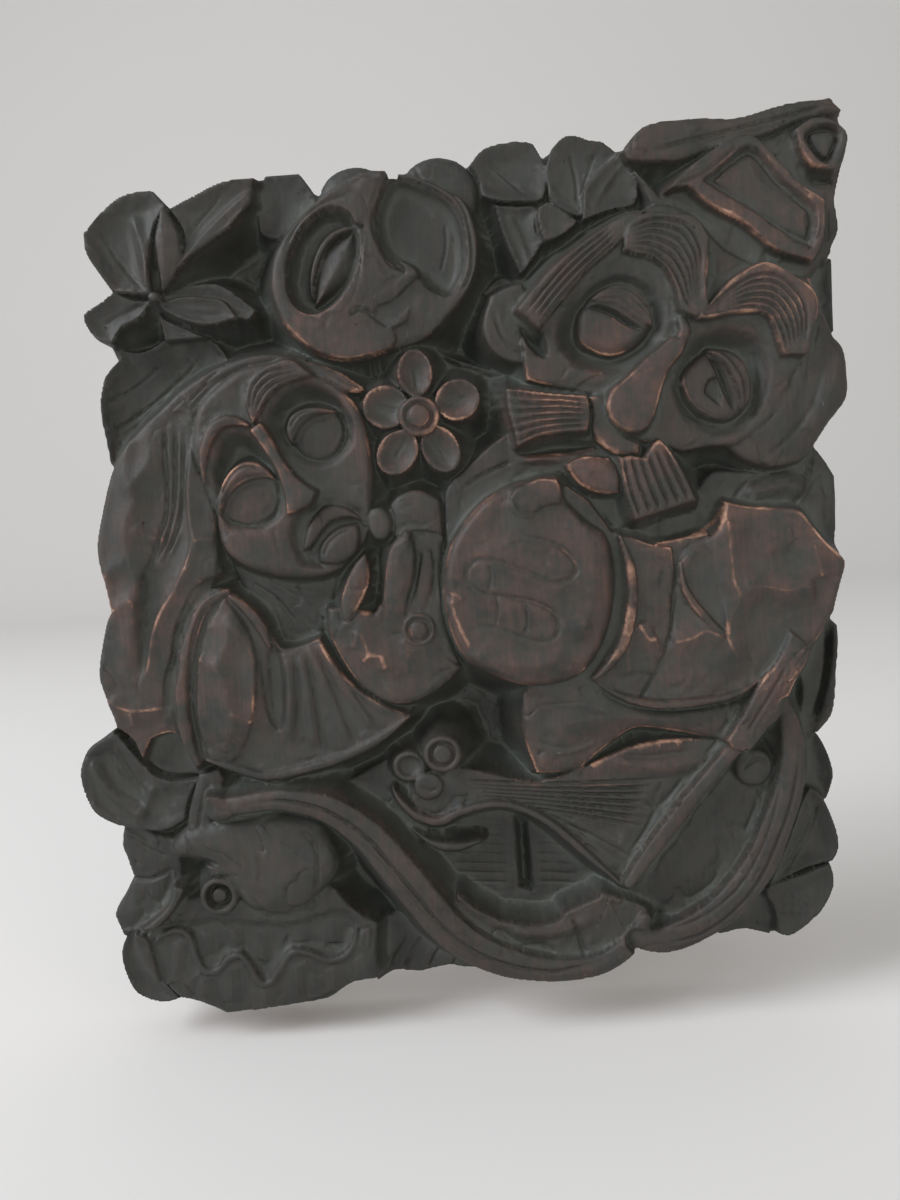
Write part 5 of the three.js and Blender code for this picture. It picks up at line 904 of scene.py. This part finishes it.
def carveBroadFlower():
    lay([(-151, -56, 1), (-157, -60), (-163, -64), (-166.5, -71), (-167, -77), (-164.5, -87), (-160, -93),
         (-151, -98, 1), (-141, -100), (-132, -100), (-124, -96, 1), (-122, -88), (-117, -78, 1), (-126, -79),
         (-134, -77), (-139, -72), (-147, -61)], 33.5, edge=2.1, crown=-3.5, through=True, way=2,
        facets=0.9)
    crest([(-162, -66), (-158, -76), (-153, -84), (-144, -92), (-141, -97)], 3.0, 4.0)
    crest([(-136, -80), (-140, -88), (-143, -94)], 2.0, 3.4)
    score([(-150, -64), (-147, -74), (-141, -84)], 1.4, 1.4)
    lay([(-152, -97, 1), (-153.5, -106), (-152, -112), (-150, -120, 1), (-154, -127), (-159, -135),
         (-157.5, -142), (-155, -148, 1), (-149, -145), (-137, -136), (-129, -124), (-128, -114),
         (-130, -104, 1)], 29, edge=2.1, crown=1.5, through=True, way=2, facets=0.9)
    score([(-150, -102), (-142, -108), (-134, -112)], 1.4, 1.5)
    score([(-150, -120), (-142, -121), (-134, -118)], 1.8, 1.4)
    lay([(-155, -145, 1), (-158, -151), (-158.5, -157), (-157, -164), (-153, -172), (-143, -176.5),
         (-134, -175, 1), (-141, -166), (-148, -154), (-151, -143, 1)], 28, edge=1.7, crown=-2.5,
        through=True, way=3)
    lay([(-51, -176, 1), (-43, -171.5), (-37, -172), (-31, -172.5, 1), (-23, -171), (-19, -170.5, 1),
         (-12, -172), (-6, -172.5, 1), (-4, -164), (-26, -148), (-50, -146, 1)], 20.5, edge=1.3, crown=-1.5,
        through=True, way=1)
    for x in (-45, -37, -26, -16):
        score([(x - 2, -171), (x + 2, -164), (x + 7, -157)], 1.4, 1.1)
    # the flower head
    lay([(-148, -140, 1), (-147, -147), (-145, -154), (-140, -165), (-133, -173, 1), (-125, -175.5),
         (-114, -181, 1), (-98, -180), (-87, -179), (-71, -177), (-63, -172.5), (-59, -170.5, 1),
         (-49, -169.5, 1), (-48.5, -155), (-47, -145, 1), (-56, -139), (-61, -133), (-67, -127), (-84, -130),
         (-104, -131), (-128, -129)], 32, edge=2.4, crown=1.2, through=True, way=1, facets=0.8)
    sink([(-139, -141), (-126, -138), (-104, -140), (-84, -142), (-62, -138), (-54, -146), (-57, -153),
          (-64, -158), (-75, -156.5), (-84, -154.5), (-90, -160), (-95, -166.5), (-101, -164.5),
          (-104.5, -157), (-111, -155), (-115, -160), (-121, -161), (-124.5, -154), (-127, -146),
          (-134, -143)], 30.4, 4.5)
    wave = [(-142, -148, 1.0, 32), (-136, -143.5, 1.5, 33), (-130, -143, 1.6, 33.2),
            (-126.5, -147, 1.6, 33.2), (-125, -154, 1.6, 33.2), (-121.5, -161, 1.6, 33.2),
            (-116, -161, 1.6, 33.2), (-111.5, -156.5, 1.6, 33.2), (-106, -155, 1.6, 33.2),
            (-102.5, -160, 1.6, 33.2), (-98.5, -167.5, 1.6, 33.2), (-94, -167.5, 1.6, 33.2),
            (-89.5, -161.5, 1.6, 33.2), (-84, -155, 1.6, 33.2), (-77, -156, 1.6, 33.2),
            (-70, -159.5, 1.6, 33.2), (-63, -158.5, 1.6, 33.2), (-58.5, -154, 1.5, 33),
            (-56.5, -147, 0.8, 32.2)]
    strip(wave, crown=0.9, edge=0.6, facets=0.1)
    for (x, z), (u, v) in (((-131, -146), (-136, -166)), ((-122, -164), (-124, -173)),
                           ((-110, -158), (-112, -176)), ((-97, -170), (-98, -178)),
                           ((-83, -159), (-84, -176)), ((-69, -162), (-68, -173)), ((-57, -158), (-53, -167))):
        crest([(x, z), ((x + u) / 2 + 1, (z + v) / 2), (u, v)], 1.2, 4)
    for (x, z), (u, v) in (((-120, -145), (-121, -156)), ((-108, -143), (-107, -152)),
                           ((-96, -144), (-97, -160)), ((-80, -144), (-79, -152)), ((-66, -142), (-67, -154))):
        crest([(x, z), (u, v)], 1.1, 4)
    # stem, disc, ring and the curls beside it
    lay([(-117, -76, 1), (-108, -74, 1), (-106, -80), (-109, -86), (-113, -95), (-115, -109), (-124, -108, 1),
         (-124, -100), (-122, -90)], 34.5, edge=1.7, crown=1.0)
    score([(-112, -80), (-117, -92), (-119, -105)], 1.2, 1.2)
    lay([(-128, -101), (-122, -97.5), (-109, -95), (-89, -94), (-69, -98), (-63.5, -106), (-60.5, -115),
         (-62, -122), (-67, -128), (-76, -136, 1), (-90, -138), (-101, -135), (-107, -126), (-115, -115),
         (-128, -112, 1), (-131.5, -107)], 36, edge=6, crown=3.2, wall=0.9, facets=0.8, way=2, over=False)
    score([(-76, -101), (-71, -107), (-69.5, -115), (-72, -129)], 1.4, 1.6)
    score([(-104, -99), (-98, -110), (-98, -124)], 0.8, 2.0)
    lay(oval(-112.5, -128.5, 8.2, 8.2), 35.5, edge=1.1, facets=0)
    sink(oval(-112.5, -128.5, 5.6, 5.6), 30.5, 1.3)
    lay(oval(-112.5, -128.5, 3.4, 3.4), 34.2, edge=1.3, facets=0)
    strip([(-117, -115, 0.6, 35), (-112, -116.5, 1.6, 36.5), (-104, -119.5, 0.6, 35.5)], crown=0.8, edge=0.6)
    lay([(-131, -122, 1), (-125.5, -123.5, 1), (-129, -130), (-134, -136), (-140, -140.5), (-146, -140.5, 1),
         (-139, -135.5), (-133.5, -130)], 36.5, edge=1.1, crown=0.8)
    lay([(-150, -142, 1), (-144, -145), (-142, -153), (-139.5, -166, 1), (-144, -160), (-148.5, -151)], 34.5,
        edge=1.1, crown=0.6, over=False)


for carve in (carveTopLeft, carveTopMiddle, carveMoon, carveHat, carveCollar, carveMan, carveFlower,
              carveHair, carveWoman, carveCloak, carveHand, carveSleeve, carveFist, carveFiddle,
              carveRightLeaves, carveBroadFlower, carveRims):
    carve()
print("forms carved")


# what the gouge leaves: narrow gaps that run out in a V, flat cuts and an uneven surface

tool = {
    "straightWall": 2.2,  # mm that a wall drops upright before it slopes
    "wallSlope": 2.2,
    "flatLong": 15.0,  # flat cuts, along the stroke and across it
    "flatWide": 8.0,
    "smallLong": 7.0,
    "smallWide": 3.6,
    "hollow": 0.5,  # mm, depth of one stroke
    "tilt": 0.13,  # how far a stroke leans off the form, as a slope
    "reach": 1.5,  # mm that a flat cut may depart from the form
    "seam": 0.25,  # mm, how low beside a ridge the wear still shows
    "groundMarks": 0.6,
    "unevenness": 0.1,
}


def slopedWalls():
    # no place lies deeper than the sloping walls around it allow
    low = height - tool["straightWall"]
    drop = tool["wallSlope"] * block["step"]
    for _ in range(int(22 / drop)):
        edged = np.pad(low, 1, mode="edge")
        beside = np.maximum(np.maximum(edged[:-2, 1:-1], edged[2:, 1:-1]),
                            np.maximum(edged[1:-1, :-2], edged[1:-1, 2:]))
        across = np.maximum(np.maximum(edged[:-2, :-2], edged[2:, 2:]),
                            np.maximum(edged[:-2, 2:], edged[2:, :-2]))
        low = np.maximum(low, np.maximum(beside - drop, across - 1.41 * drop))
    return np.maximum(height, low)


def blur(values, radius):
    # the mean over a square of about that half width in mm
    r = max(1, int(round(radius / block["step"])))
    for axis in (0, 1):
        pad = [(r + 1, r) if k == axis else (0, 0) for k in (0, 1)]
        total = np.cumsum(np.pad(values, pad, mode="edge"), axis=axis)
        ahead = np.take(total, np.arange(2 * r + 1, total.shape[axis]), axis)
        behind = np.take(total, np.arange(0, total.shape[axis] - 2 * r - 1), axis)
        values = (ahead - behind) / (2 * r + 1)
    return values


def sampled(values, x, z):
    # a value of the carved grid at a place, between the grid's lines
    u = np.clip((x - xs[0]) / block["step"], 0, len(xs) - 1.001)
    v = np.clip((z - zs[0]) / block["step"], 0, len(zs) - 1.001)
    i, j = u.astype(int), v.astype(int)
    a, b = u - i, v - j
    return ((values[j, i] * (1 - a) + values[j, i + 1] * a) * (1 - b)
            + (values[j + 1, i] * (1 - a) + values[j + 1, i + 1] * a) * b)


def chance(key, salt):
    # a number from -1 to 1 that looks random
    return np.modf(np.sin(key * (1.0 + 0.37 * salt) + salt) * 43758.5453)[0]


def cutFlats(angle, long, wide, seed, hollow):
    # the relief cut over with shallow gouge strokes of about that size, minus the relief itself,
    # and 1 where two strokes meet in a ridge
    a = np.radians(angle)
    u = (X * np.cos(a) + Z * np.sin(a)) / long
    v = (Z * np.cos(a) - X * np.sin(a)) / wide
    form = blur(blur(height, 1.1), 1.1)
    slopeZ, slopeX = np.gradient(form, block["step"])
    row = np.floor(v)
    lowest, second = np.full(X.shape, 99.0), np.full(X.shape, 99.0)
    for dv in (-1, 0, 1):
        shift = 0.5 * ((row + dv) % 2)
        cell = np.floor(u - shift)
        for du in (-1, 0, 1):
            key = (cell + du) * 127.1 + (row + dv) * 311.7 + seed
            middleU = cell + du + 0.5 + shift + 0.3 * chance(key, 1)
            middleV = row + dv + 0.5 + 0.3 * chance(key, 2)
            middleX = middleU * long * np.cos(a) - middleV * wide * np.sin(a)
            middleZ = middleU * long * np.sin(a) + middleV * wide * np.cos(a)
            leanX = sampled(slopeX, middleX, middleZ) + tool["tilt"] * chance(key, 3)
            leanZ = sampled(slopeZ, middleX, middleZ) + tool["tilt"] * chance(key, 4)
            off = (u - middleU) ** 2 + (v - middleV) ** 2
            stroke = (sampled(form, middleX, middleZ) + leanX * (X - middleX) + leanZ * (Z - middleZ)
                      + hollow * (4 * off - 0.7) + np.where(off > 1, 20 * (off - 1), 0))
            second = np.minimum(second, np.maximum(stroke, lowest))
            lowest = np.minimum(lowest, stroke)
    gap = lowest - height
    seam = np.clip(1 - (second - lowest) / tool["seam"], 0, 1)
    return gap * np.exp(-(gap / tool["reach"]) ** 2), seam


height = slopedWalls()
ways = (20, 70, 125, 165)
broad = [cutFlats(way, tool["flatLong"], tool["flatWide"], 11.0 * k, tool["hollow"])
         for k, way in enumerate(ways)]
small = [cutFlats(way + 12, tool["smallLong"], tool["smallWide"], 5.0 + 7.0 * k, tool["hollow"] * 0.5)
         for k, way in enumerate(ways)]
free = 1 - ease(crisp)
strength = np.clip(facetDepth * 1.25, 0, 1) * free
broadGap, smallGap = (np.choose(facetWay, [made[0] for made in cuts]) for cuts in (broad, small))
seams = strength * np.choose(facetWay, [made[1] for made in broad])
height += strength * broadGap + (0.12 * free + 0.3 * strength) * smallGap
height += np.where(height < block["ground"] + 4, tool["groundMarks"] * small[1][0] * 2, 0)
wobble = (np.sin(X * 0.11 + 1.7 * np.sin(Z * 0.045)) + np.sin(Z * 0.13 + 1.3 * np.sin(X * 0.06 + 1.0))
          + 0.6 * np.sin(X * 0.31 + Z * 0.22) + 0.4 * np.sin(X * 0.9 + 2 * np.sin(Z * 0.35)))
height += tool["unevenness"] * wobble
height = np.clip(height, 11.0, 47.8)

# sharp edges are rubbed, high places are handled, deep corners keep dust, lightened further by painted fill
# light that lifts the shade in them
handReach = [  # x, z and the two half sizes of the places that hands and cloths reach
    (24, -6, 34, 38), (76, -22, 22, 32), (118, 0, 28, 26), (-38, -26, 22, 26), (-102, -38, 18, 34),
    (-128, -18, 20, 44), (-22, 68, 26, 26), (52, 56, 34, 26), (70, 66, 20, 34), (-86, 40, 20, 24),
    (-52, 98, 16, 12), (122, 138, 22, 20), (122, -40, 16, 26), (60, -78, 44, 12), (118, 98, 24, 20),
]
nearMean = blur(blur(height, 0.6), 0.6)
widerMean = blur(blur(height, 1.6), 1.6)
wideMean = blur(blur(height, 4.5), 4.5)
reached = np.full(X.shape, 0.12)
for x, z, along, across in handReach:
    reached = np.maximum(reached, ease(1.6 - np.hypot((X - x) / along, (Z - z) / across)))
edgeWear = np.clip((height - nearMean - 0.05) / 0.5, 0, 1) + np.clip((height - widerMean - 0.4) / 3, 0, 0.4)
edgeWear = edgeWear * (0.3 + 0.7 * reached) + 0.6 * seams * reached
edgeWear = edgeWear * np.clip((height - 20) / 14, 0.2, 1) + 1.1 * rubbed
handled = ease((height - 30) / 12) * ease((height - wideMean + 2.5) / 5) * (0.25 + 0.75 * reached)
# partly dust, partly painted fill light: the hollows are made lighter so that their shade is lifted
paintedFillLightAndDust = np.clip((wideMean - height) / 7.0, 0, 1)
print("tool marks and wear worked out")


# the panel as a mesh

def newObject(name, bm):
    mesh = bpy.data.meshes.new(name)
    bm.to_mesh(mesh)
    bm.free()
    made = bpy.data.objects.new(name, mesh)
    bpy.context.scene.collection.objects.link(made)
    return made


def frontFace():
    bm = bmesh.new()
    bmesh.ops.create_grid(bm, x_segments=len(xs) - 1, y_segments=len(zs) - 1, size=1.0)
    mesh = bpy.data.meshes.new("front")
    bm.to_mesh(mesh)
    bm.free()
    flat = np.empty(len(mesh.vertices) * 3)
    mesh.vertices.foreach_get("co", flat)
    flat = flat.reshape(-1, 3)
    x = xs[0] + (flat[:, 0] + 1) / 2 * (xs[-1] - xs[0])
    z = zs[0] + (flat[:, 1] + 1) / 2 * (zs[-1] - zs[0])
    # places just outside the cut-out edge are drawn in onto it
    slopeZ, slopeX = np.gradient(cover, block["step"])
    inside = sampled(cover, x, z)
    keep = inside > -0.8 * block["step"]
    for _ in range(3):
        now = sampled(cover, x, z)
        gx, gz = sampled(slopeX, x, z), sampled(slopeZ, x, z)
        size = np.maximum(gx * gx + gz * gz, 0.2)
        move = np.where(keep & (now < 0), -now, 0)
        x, z = x + gx / size * move, z + gz / size * move
    flat[:, 0], flat[:, 2] = x * mm, z * mm
    flat[:, 1] = -sampled(height, x, z) * mm
    mesh.vertices.foreach_set("co", flat.ravel())
    bm = bmesh.new()
    bm.from_mesh(mesh)
    bpy.data.meshes.remove(mesh)
    bm.verts.ensure_lookup_table()
    bmesh.ops.delete(bm, geom=[bm.verts[int(i)] for i in np.flatnonzero(~keep)], context="VERTS")
    loose = [v for v in bm.verts if not v.link_faces]
    bmesh.ops.delete(bm, geom=loose, context="VERTS")
    bmesh.ops.recalc_face_normals(bm, faces=bm.faces)
    return newObject("front", bm)


def thinned(source, triangles):
    counted = sum(len(p.vertices) - 2 for p in source.data.polygons)
    thin = source.modifiers.new("thin", "DECIMATE")
    thin.ratio = min(1.0, triangles / counted)
    evaluated = source.evaluated_get(bpy.context.evaluated_depsgraph_get())
    mesh = bpy.data.meshes.new_from_object(evaluated)
    bpy.data.objects.remove(source)
    return mesh


def carvedPanel():
    front = thinned(frontFace(), block["triangles"])
    bm = bmesh.new()
    bm.from_mesh(front)
    bpy.data.meshes.remove(front)
    facing = sum(f.normal.y * f.calc_area() for f in bm.faces)
    if facing > 0:
        bmesh.ops.reverse_faces(bm, faces=bm.faces)
    # the sides go straight back from the cut-out edge, in a few rings
    rim = [e for e in bm.edges if e.is_boundary]
    for share in (2 / 3, 1 / 2, 0.0):
        made = bmesh.ops.extrude_edge_only(bm, edges=rim)["geom"]
        for v in (g for g in made if isinstance(g, bmesh.types.BMVert)):
            v.co.y *= share
        rim = [e for e in made if isinstance(e, bmesh.types.BMEdge) and e.is_boundary]
    bmesh.ops.holes_fill(bm, edges=rim, sides=0)
    back = [f for f in bm.faces if len(f.verts) > 4]
    bmesh.ops.triangulate(bm, faces=back)
    bmesh.ops.remove_doubles(bm, verts=bm.verts, dist=1e-6)
    for f in bm.faces:
        f.smooth = abs(f.calc_center_median().y) > 1e-6
    for e in bm.edges:
        e.smooth = max(abs(v.co.y) for v in e.verts) > 1e-6
    return newObject("carvedPanel", bm)


panel = carvedPanel()
print("panel meshed:", sum(len(p.vertices) - 2 for p in panel.data.polygons), "triangles")


def addAttribute(obj, name, values):
    layer = obj.data.attributes.new(name, "FLOAT", "POINT")
    layer.data.foreach_set("value", values.astype(np.float32))


def markWear(obj):
    flat = np.empty(len(obj.data.vertices) * 3)
    obj.data.vertices.foreach_get("co", flat)
    x, y, z = flat.reshape(-1, 3).T / mm
    onFront = np.clip(1 - (sampled(height, x, z) + y) / 1.5, 0, 1)
    addAttribute(obj, "edgeWear", sampled(edgeWear, x, z) * onFront)
    addAttribute(obj, "handled", sampled(handled, x, z) * onFront)
    addAttribute(obj, "paintedFillLightAndDust", sampled(paintedFillLightAndDust, x, z) * onFront)
    addAttribute(obj, "front", onFront)


markWear(panel)


# stained and waxed wood

stain = {
    "dark": "232622",  # nearly black, where the stain is thick
    "body": "2f322e",  # grey-brown of the carved surface
    "handled": "60433a",  # high places that hands have rubbed
    "warm": "6f4d40",  # edges rubbed to the red-brown wood
    "bare": "bb9279",  # the sharpest edges, down to the wood
    "paintedFillLightAndDustColour": "5c625b",  # dull greenish dust in the hollows, mixed with painted fill light that lifts the shade there
    "back": "6a5444",  # plain stained back
    "roughness": 0.56,
    "grainMm": 1.4,  # spacing of the growth lines
    "poreMm": 0.5,
    "scratchMm": 3.0,
}


def linear(hexColour):
    parts = [int(hexColour[i:i + 2], 16) / 255 for i in (0, 2, 4)]
    return [c / 12.92 if c <= 0.04045 else ((c + 0.055) / 1.055) ** 2.4 for c in parts] + [1.0]


def addNode(tree, kind, settings=None, inputs=None):
    node = tree.nodes.new(kind)
    for key, value in (settings or {}).items():
        setattr(node, key, value)
    for key, value in (inputs or {}).items():
        if isinstance(value, bpy.types.NodeSocket):
            tree.links.new(value, node.inputs[key])
        else:
            node.inputs[key].default_value = value
    return node


def stainedWood():
    # limewood cut with gouges, stained nearly black and waxed: dull satin, rubbed through to red-brown
    # on ridges and edges, with grey-green dust and painted fill light lightening the hollows
    material = bpy.data.materials.new("stainedWaxedWood")
    material.use_nodes = True
    tree = material.node_tree
    shader = tree.nodes["Principled BSDF"]
    place = addNode(tree, "ShaderNodeTexCoord").outputs["Object"]
    along = addNode(tree, "ShaderNodeMapping", inputs={"Vector": place, "Scale": (1.0, 1.0, 0.07)})

    def noise(vector, size, detail, roughness=0.55):
        made = addNode(tree, "ShaderNodeTexNoise", None, {
            "Vector": vector, "Scale": 1 / (size * mm), "Detail": detail, "Roughness": roughness})
        return made.outputs["Fac"]

    def blend(factor, first, second):
        mixer = addNode(tree, "ShaderNodeMix", {"data_type": "RGBA"}, {"Factor": factor})
        for socket, value in ((mixer.inputs[6], first), (mixer.inputs[7], second)):
            if isinstance(value, bpy.types.NodeSocket):
                tree.links.new(value, socket)
            else:
                socket.default_value = value
        return mixer.outputs[2]

    def between(value, low, high, lowest=0.0, highest=1.0):
        ranged = addNode(tree, "ShaderNodeMapRange", {"clamp": True}, {
            "Value": value, "From Min": low, "From Max": high, "To Min": lowest, "To Max": highest})
        return ranged.outputs["Result"]

    def sums(operation, first, second):
        return addNode(tree, "ShaderNodeMath", {"operation": operation}, {0: first, 1: second}).outputs[0]

    def attribute(name):
        return addNode(tree, "ShaderNodeAttribute", {"attribute_name": name}).outputs["Fac"]

    grain = noise(along.outputs["Vector"], stain["grainMm"], 3.0, 0.6)
    pores = noise(along.outputs["Vector"], stain["poreMm"], 2.0)
    patches = noise(place, 24, 4.0, 0.6)
    rubs = noise(place, 15, 3.0, 0.6)
    specks = noise(place, 1.6, 3.0, 0.7)
    scratches = noise(place, stain["scratchMm"], 5.0, 0.65)

    base = blend(between(patches, 0.35, 0.68), linear(stain["dark"]), linear(stain["body"]))
    base = blend(sums("MULTIPLY", between(grain, 0.45, 0.75), 0.15), base, linear(stain["handled"]))
    touched = sums("MULTIPLY", attribute("handled"), between(sums("ADD", rubs, sums(
        "MULTIPLY", scratches, 0.5)), 0.6, 0.95))
    base = blend(sums("MULTIPLY", touched, between(grain, 0.35, 0.65, 0.6, 1.0)), base,
                 linear(stain["handled"]))
    # hollows lightened to grey-green: dust, and painted fill light lifting their shade
    base = blend(sums("MULTIPLY", attribute("paintedFillLightAndDust"), 0.9), base, linear(stain["paintedFillLightAndDustColour"]))
    worn = attribute("edgeWear")
    edge = sums("MULTIPLY", between(worn, 0.45, 1.1), between(rubs, 0.4, 0.62, 0.15, 0.85))
    edge = sums("MULTIPLY", edge, between(specks, 0.3, 0.6, 0.4, 1.0))
    base = blend(edge, base, linear(stain["warm"]))
    bare = sums("MULTIPLY", between(worn, 0.65, 1.15), between(rubs, 0.46, 0.66))
    base = blend(sums("MULTIPLY", bare, between(specks, 0.35, 0.65, 0.3, 1.0)), base, linear(stain["bare"]))
    plain = blend(between(grain, 0.3, 0.7), linear(stain["back"]), linear(stain["handled"]))
    base = blend(attribute("front"), plain, base)
    tree.links.new(base, shader.inputs["Base Color"])
    dull = between(sums("ADD", sums("MULTIPLY", scratches, 0.6), sums("MULTIPLY", specks, 0.4)), 0.3, 0.7,
                   stain["roughness"] - 0.06, stain["roughness"] + 0.12)
    tree.links.new(dull, shader.inputs["Roughness"])
    relief = sums("ADD", sums("MULTIPLY", grain, 0.35), sums("MULTIPLY", pores, 0.3))
    relief = sums("ADD", relief, sums("ADD", sums("MULTIPLY", specks, 0.4), scratches))
    bump = addNode(tree, "ShaderNodeBump", None, {
        "Height": relief, "Strength": 0.3, "Distance": 0.5 * mm})
    tree.links.new(bump.outputs["Normal"], shader.inputs["Normal"])
    shader.inputs["IOR"].default_value = 1.5
    return material


panel.data.materials.append(stainedWood())
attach(panel, "root")
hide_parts("carved_panel")
print("wood stained")


# floor and backdrop in one sweep, soft light and the camera

studio = {
    "floorDrop": 12.0,  # mm below the panel
    "halfWidth": 5.0,  # m
    "front": -4.0,
    "bendStart": 2.4,  # where the floor begins to rise
    "bendRadius": 1.2,
    "top": 4.5,
    "key": 84.0,  # W
    "fill": 18.0,
    "sky": 0.5,
}


def paleSweep():
    # a line across the front is drawn back along the floor, round the bend and up
    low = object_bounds()[0].z - studio["floorDrop"] * mm
    radius = studio["bendRadius"]
    bm = bmesh.new()
    ends = [bm.verts.new((side * studio["halfWidth"], studio["front"], low)) for side in (-1, 1)]
    line = [bm.edges.new(ends)]

    def drawnOn(edges, way):
        made = bmesh.ops.extrude_edge_only(bm, edges=edges)["geom"]
        verts = [g for g in made if isinstance(g, bmesh.types.BMVert)]
        bmesh.ops.translate(bm, verts=verts, vec=way)
        return [e for e in bm.edges if all(v in verts for v in e.verts)]

    line = drawnOn(line, (0, studio["bendStart"] - studio["front"], 0))
    bend = bmesh.ops.spin(bm, geom=line, cent=(0, studio["bendStart"], low + radius), axis=(1, 0, 0),
                          angle=np.pi / 2, steps=16)
    line = [g for g in bend["geom_last"] if isinstance(g, bmesh.types.BMEdge)]
    drawnOn(line, (0, 0, studio["top"] - low - radius))
    bmesh.ops.recalc_face_normals(bm, faces=bm.faces)
    for f in bm.faces:
        f.smooth = True
    made = newObject("paleSweep", bm)
    paint = bpy.data.materials.new("paleMattPaint")
    paint.use_nodes = True
    shader = paint.node_tree.nodes["Principled BSDF"]
    shader.inputs["Base Color"].default_value = linear("ebe9e6")
    shader.inputs["Roughness"].default_value = 0.9
    made.data.materials.append(paint)
    return made


def softLight(name, place, aim, size, power, colour):
    data = bpy.data.lights.new(name, "AREA")
    data.shape = "RECTANGLE"
    data.size, data.size_y = size
    data.energy = power
    data.color = linear(colour)[:3]
    made = bpy.data.objects.new(name, data)
    made.location = Vector(place)
    made.rotation_mode = "QUATERNION"
    made.rotation_quaternion = (Vector(aim) - Vector(place)).to_track_quat("-Z", "Y")
    bpy.context.scene.collection.objects.link(made)
    return made


paleSweep()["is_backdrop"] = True
softLight("keyLight", (-2.3, -1.25, 1.8), (0, 0, 0), (1.8, 1.8), studio["key"], "f6f9ff")
softLight("fillLight", (1.2, -2.6, 0.8), (0, 0, 0), (2.0, 2.0), studio["fill"], "fff6ec")

world = bpy.data.worlds.new("paleRoom")
bpy.context.scene.world = world
world.use_nodes = True
world.node_tree.nodes["Background"].inputs["Color"].default_value = linear("f4f5f6")
world.node_tree.nodes["Background"].inputs["Strength"].default_value = studio["sky"]

shot = {
    "target": (-8.5, -35.0, -11.0),  # mm
    "distance": 406.2,
    "pitch": 4.28,  # degrees
    "yaw": 0.75,
    "roll": -3.69,
    "lens": 30.0,
}


def photographView():
    data = bpy.data.cameras.new("camera")
    data.lens, data.sensor_width = shot["lens"], 36.0
    data.clip_start, data.clip_end = 0.02, 50.0
    made = bpy.data.objects.new("camera", data)
    pitch, yaw, roll = (np.radians(shot[k]) for k in ("pitch", "yaw", "roll"))
    back = Vector((np.sin(yaw) * np.cos(pitch), -np.cos(yaw) * np.cos(pitch), np.sin(pitch)))
    right = (-back).cross(Vector((0, 0, 1))).normalized()
    up = right.cross(-back)
    tiltedRight = right * np.cos(roll) + up * np.sin(roll)
    tiltedUp = up * np.cos(roll) - right * np.sin(roll)
    turn = Matrix((tiltedRight, tiltedUp, back)).transposed()
    place = (Vector(shot["target"]) + back * shot["distance"]) * mm
    made.matrix_world = Matrix.Translation(place) @ turn.to_4x4()
    bpy.context.scene.collection.objects.link(made)
    bpy.context.scene.camera = made


photographView()
bpy.context.scene.view_settings.view_transform = "Standard"
